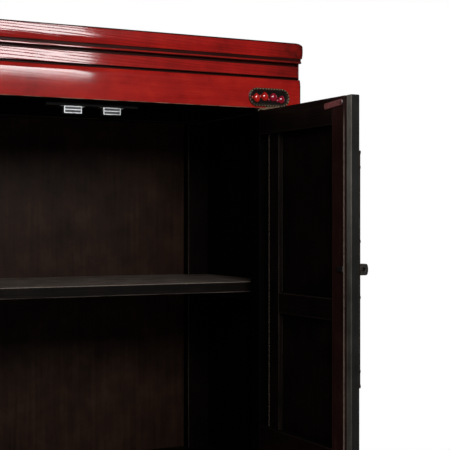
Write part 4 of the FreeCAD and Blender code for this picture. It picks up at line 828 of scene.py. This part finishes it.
# %% The door boards
DOWEL_RADIUS = 9 * MM
for side in ("left", "right"):
    body = f"door_{side}"
    leaf_low, leaf_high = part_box("free_stile_" + side)
    hinge_low, hinge_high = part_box("hinge_stile_" + side)
    bm = block_mesh(*span("hinge_stile_" + side, z=(leaf_low[2], leaf_high[2])))
    thick = hinge_high[0] - hinge_low[0]
    round_edges = [edge for edge in bm.edges
                   if all(abs(vert.co.y - hinge_high[1]) < 1e-6 for vert in edge.verts)
                   and abs(edge.verts[0].co.z - edge.verts[1].co.z) > 0.1]
    ease(bm, round_edges, thick * 0.497, 10)
    ease(bm, sharp(bm, 60), 0.9 * MM, 2)
    finished(f"hinge_stile_{side}_board", bm, "hinge_z", [f"hinge_stile_{side}"], body, smooth=32)
    for end, low_z, high_z in (("top", leaf_high[2], hinge_high[2]),
                               ("foot", hinge_low[2], leaf_low[2])):
        bm = bmesh.new()
        bmesh.ops.create_cone(bm, cap_ends=True, segments=32, radius1=DOWEL_RADIUS,
                              radius2=DOWEL_RADIUS, depth=high_z - low_z)
        ease(bm, sharp(bm), 1.0 * MM, 2)
        bmesh.ops.translate(bm, verts=bm.verts, vec=(
            (hinge_low[0] + hinge_high[0]) / 2, hinge_high[1] - thick / 2, (low_z + high_z) / 2))
        finished(f"hinge_dowel_{end}_{side}", bm, "stain_z", body=body, smooth=32)
    if side == "right":
        bm = block_mesh(leaf_low, leaf_high)
        worn_end = [edge for edge in bm.edges
                    if all(abs(vert.co.y - leaf_low[1]) < 1e-6 for vert in edge.verts)]
        ease(bm, worn_end, 5.0 * MM, 5)
        ease(bm, sharp(bm, 60), 1.4 * MM, 2)
        finished("free_stile_right_board", bm, "edge_z", ["free_stile_right"], body)
    for end in ("top", "bottom"):
        board(f"door_{end}_rail_{side}", "door_y", 0.9, body, y=(leaf_high[1], hinge_low[1]))
    board(f"door_panel_{side}", "door_z", 0.7, body)
    board(f"upright_batten_{side}", "batten_z", 1.2, body)
    board(f"cross_batten_{side}", "stain_y", 1.6, body)
board("lap_strip", "lap_z", 2.2, "door_right")
print("door leaves made, thickness in mm:", round(thick / MM, 1))

# %% [markdown]
# ## Carved blocks over the door pivots
# A small oval block covers the wood above each door pivot. It has a rim with a row of tiny beads, a dark
# sunk ground, four drops that are lacquered scarlet and crimson, and a thin carved leaf below. The oval
# starts as a circle whose halves move apart, and an inset face that is pushed back makes the rim.

# %% The oval base and its beads
block_low, block_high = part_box("pivot_block_right")
BLOCK_RADIUS = 23.5 * MM
BLOCK_HALF_LENGTH = 58.5 * MM
BLOCK_PROUD = 5.5 * MM
BLOCK_MIDDLE = Vector(((block_low[0] + block_high[0]) / 2, lintel_low[1] + 1.5 * MM,
                       block_high[2] - BLOCK_RADIUS))
RIM_WIDTH = 4.6 * MM
BEADS = 34
BEAD_RADIUS = 1.5 * MM
straight = BLOCK_HALF_LENGTH - BLOCK_RADIUS


def onto_lintel(bm):
    """Turns a carving that was made flat on its back so that it stands on the lintel's face."""
    turn(bm, 90, "X")
    bmesh.ops.translate(bm, vec=BLOCK_MIDDLE, verts=bm.verts)


def oval_place(share, radius):
    """A point on the oval line at that share of its length. Each half is a straight and an arc."""
    run = 2 * straight
    half_line = run + math.pi * radius
    passed, along = divmod(share * 2 * half_line, half_line)
    angle = max(along - run, 0.0) / radius
    spot = Vector((min(along, run) - straight + radius * math.sin(angle),
                   radius * math.cos(angle), 0))
    return -spot if passed else spot


for side, way in SIDES:
    bm = bmesh.new()
    bmesh.ops.create_circle(bm, cap_ends=True, segments=48, radius=BLOCK_RADIUS)
    for vert in bm.verts:
        if abs(vert.co.x) > 1e-6:
            vert.co.x += math.copysign(straight, vert.co.x)
    raised = push(bm, (0, 0, BLOCK_PROUD))
    front = [face for face in bm.faces if all(vert in raised for vert in face.verts)]
    bmesh.ops.inset_region(bm, faces=front, thickness=RIM_WIDTH, use_even_offset=True)
    bmesh.ops.inset_region(bm, faces=front, thickness=1.2 * MM, depth=-3.0 * MM,
                           use_even_offset=True)
    for face in front:
        face.material_index = 1
    ease(bm, sharp(bm, 40), 1.0 * MM, 2)
    onto_lintel(bm)
    finished(f"pivot_block_{side}_oval", bm, ["carved", "stain_x"], [f"pivot_block_{side}"],
             smooth=32, way=way)
    bm = bmesh.new()
    for index in range(BEADS):
        spot = oval_place(index / BEADS, BLOCK_RADIUS - RIM_WIDTH / 2)
        spot.z = BLOCK_PROUD
        bmesh.ops.create_icosphere(bm, subdivisions=1, radius=BEAD_RADIUS,
                                   matrix=Matrix.Translation(spot))
    onto_lintel(bm)
    finished(f"pivot_block_{side}_beads", bm, "gilt", smooth=80, way=way)
print("oval bases with", BEADS, "beads each")

# %% [markdown]
# The drops are spheres that are flattened and pinched at the top. DROPS holds each one's place, half width
# and half height in millimetres, its lean in degrees and its lacquer. The leaf is a strip of faces that
# follows a rising curve with a small wave, and it then gets its thickness.

# %% The drops and the leaf
DROPS = [
    (-36, -1.6, 10.4, 13.2, -9, "scarlet"), (-13, 2.2, 11.8, 12.8, -3, "scarlet"),
    (12.5, 1.6, 12.4, 12.4, 8, "crimson"), (36, -3.4, 10.6, 12, 20, "crimson"),
    (-48.2, -1, 3.2, 4.8, 0, "scarlet"), (-25.6, 2, 3.6, 4.6, 0, "scarlet"),
    (-0.8, -5, 3.4, 4.2, 0, "crimson"), (24.5, -6.6, 3.8, 5.2, 0, "crimson"),
]
DROP_RISE = 0.62
DROP_SIZE = 0.9
DROP_LEVEL = 2.4
LEAF_THICK = 3.4 * MM
for side, way in SIDES:
    for lacquer_name in ("scarlet", "crimson"):
        bm = bmesh.new()
        for across, up, half_width, half_height, lean, used in DROPS:
            if used != lacquer_name:
                continue
            made = bmesh.ops.create_uvsphere(bm, u_segments=24, v_segments=14, radius=1.0)["verts"]
            for vert in made:
                if vert.co.y > 0:
                    vert.co.x *= 1 - 0.42 * vert.co.y ** 1.6
            wide, tall = half_width * DROP_SIZE * MM, half_height * DROP_SIZE * MM
            bmesh.ops.scale(bm, verts=made, vec=(wide, tall, wide * DROP_RISE))
            turn(bm, -lean, "Z", made)
            bmesh.ops.translate(bm, vec=(across * MM, up * MM, DROP_LEVEL * MM), verts=made)
        onto_lintel(bm)
        finished(f"pivot_block_{side}_{lacquer_name}_drops", bm, lacquer_name, smooth=80, way=way)
    bm = bmesh.new()
    bmesh.ops.create_grid(bm, x_segments=36, y_segments=4, size=0.5)
    for vert in bm.verts:
        along, across = vert.co.x + 0.5, vert.co.y * 2
        width = 3.4 * math.sin(math.pi * min(1.0, along * 1.12 + 0.02)) ** 0.55 + 0.4
        wave = 1.1 * math.sin(along * 23.0)
        middle = -34.2 + 14.0 * along ** 0.62 + wave
        vert.co = Vector(((-31 + 86 * along) * MM, (middle + across * width) * MM,
                          (4.2 + 1.1 * math.cos(across * 3.0) + 0.8 * math.sin(along * 31.0)) * MM))
    bmesh.ops.solidify(bm, geom=bm.faces[:], thickness=LEAF_THICK)
    onto_lintel(bm)
    finished(f"pivot_block_{side}_leaf", bm, "leaf", smooth=60, way=way)
print("drops for each block:", len(DROPS))

# %% [markdown]
# ## Brass lock plates and their nails
# Outside, each leaf carries half of a big round brass plate, so that the closed doors show a full circle.
# It is sheet brass with a rolled rim and two turned rings. A section from the middle to the rim, spun
# through half a turn, gives exactly that. The nails are domes with a thin skirt.

# %% Half plates and nails
PLATE_SECTION = [
    (0, 0), (0, 1.5), (58, 1.5), (60, 2.6), (64, 2.6), (66, 1.5), (222, 1.5), (224, 2.3), (228, 2.3),
    (230, 1.5), (254, 1.5), (257, 2.6), (261, 2.9), (263.5, 1.6), (263.5, 0),
]
RING_OF_NAILS = 247.5
NAILS = 10
NAIL_SIZE = Vector((3.8, 6.2, 6.2)) * MM
plate_low, plate_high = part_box("lock_plate_right")
centre = Vector((plate_low[0], plate_low[1], (plate_low[2] + plate_high[2]) / 2))
for side, way in SIDES:
    bm = bmesh.new()
    for reach, proud in PLATE_SECTION:
        bm.verts.new(centre + Vector((proud * MM, 0, reach * MM)))
    bm.faces.new(bm.verts[:])
    bmesh.ops.spin(bm, geom=bm.verts[:] + bm.edges[:] + bm.faces[:], cent=centre, axis=(1, 0, 0),
                   angle=-math.pi, steps=72, use_merge=False, use_duplicate=False)
    bmesh.ops.remove_doubles(bm, verts=bm.verts, dist=0.01 * MM)
    finished(f"lock_plate_{side}_half", bm, "brass", [f"lock_plate_{side}"], f"door_{side}",
             smooth=40, way=way)
    bm = bmesh.new()
    for index in range(NAILS):
        angle = math.pi * (index + 0.5) / NAILS
        spot = centre + Vector((1.5 * MM, RING_OF_NAILS * MM * math.sin(angle),
                                RING_OF_NAILS * MM * math.cos(angle)))
        made = bmesh.ops.create_uvsphere(bm, u_segments=20, v_segments=12, radius=1.0)["verts"]
        bmesh.ops.scale(bm, vec=NAIL_SIZE, verts=made)
        bmesh.ops.translate(bm, vec=spot, verts=made)
    finished(f"lock_nails_{side}_domes", bm, "brass", [f"lock_nails_{side}"], f"door_{side}",
             smooth=80, way=way)
print("plate radius in mm:", PLATE_SECTION[-1][0])

# %% [markdown]
# ## Lock staples
# A thick iron lug with a hole stands next to the edge of each half plate. Seen from the front left, the
# hole shows only its own dark wall. The outline is a polygon with rounded corners, the hole is a circle
# inside it, and the sheet between the two is pushed out to the lug's width. The tail through the door is
# the CAD solid, sawn off at the plate.

# %% The staples
STAPLE_OUTLINE = [(0, -13.7, 0), (21.2, -13.7, 3.5), (25.4, -0.8, 9), (21.2, 12.1, 3.5), (0, 12.1, 0)]
STAPLE_HOLE = Vector((11.4 * MM, 0, -0.8 * MM))
HOLE_RADIUS = 4.2 * MM
STAPLE_EXTRA = 4.5 * MM
plate_face = plate_high[0]
staple_low, staple_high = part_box("lock_staple_right")
foot = Vector((plate_face, staple_low[1] - STAPLE_EXTRA, (staple_low[2] + staple_high[2]) / 2))
# The left staple has no clinch inside the door, so its box is as wide as the lug.
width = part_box("lock_staple_left")[1][1] - foot.y
for side, way in SIDES:
    bm = rounded_sheet([(foot + Vector((reach * MM, 0, up * MM)), radius)
                        for reach, up, radius in STAPLE_OUTLINE])
    bmesh.ops.delete(bm, geom=bm.faces[:], context="FACES_ONLY")
    turned = Matrix.Translation(foot + STAPLE_HOLE) @ Matrix.Rotation(math.radians(90), 4, "X")
    bmesh.ops.create_circle(bm, segments=28, radius=HOLE_RADIUS, matrix=turned)
    bmesh.ops.triangle_fill(bm, use_beauty=True, use_dissolve=False, edges=bm.edges[:])
    push(bm, (0, width, 0))
    ease(bm, sharp(bm), 0.8 * MM, 2)
    finished(f"lock_staple_{side}_lug", bm, "iron", body=f"door_{side}", smooth=40, way=way)
    bm = eased_copy(f"lock_staple_{side}", 0.9 * MM)
    saw(bm, (way * plate_face, 0, 0), (way, 0, 0))
    finished(f"lock_staple_{side}_tail", bm, "iron", [f"lock_staple_{side}"], f"door_{side}")
print("staple width in mm:", round(width / MM, 1))

# %% [markdown]
# ## Catches and strike plates
# The catches are modern: a pressed aluminium housing with bars over a magnet, screwed to a batten. On each
# door a small steel plate with rounded corners meets it. It was screwed on a few degrees out of true.

# %% Housings and strike plates
PLATE_LEAN = -3.6
for side in ("left", "right"):
    bm = eased_copy(f"catch_housing_{side}", 0.7 * MM)
    finished(f"catch_housing_{side}_pressed", bm, "aluminium", [f"catch_housing_{side}"])
    low, high = span(f"strike_plate_{side}")
    bm = block_mesh(low, high)
    corners = [edge for edge in bm.edges
               if abs(edge.verts[0].co.x - edge.verts[1].co.x) > 1.0 * MM]
    ease(bm, corners, 4.5 * MM, 6)
    ease(bm, sharp(bm), 0.4 * MM, 2)
    turn(bm, PLATE_LEAN, "X", centre=[(a + b) / 2 for a, b in zip(low, high)])
    finished(f"strike_plate_{side}_sheet", bm, "zinc", [f"strike_plate_{side}"], f"door_{side}",
             smooth=40)
print("strike plates lean by", PLATE_LEAN, "degrees")
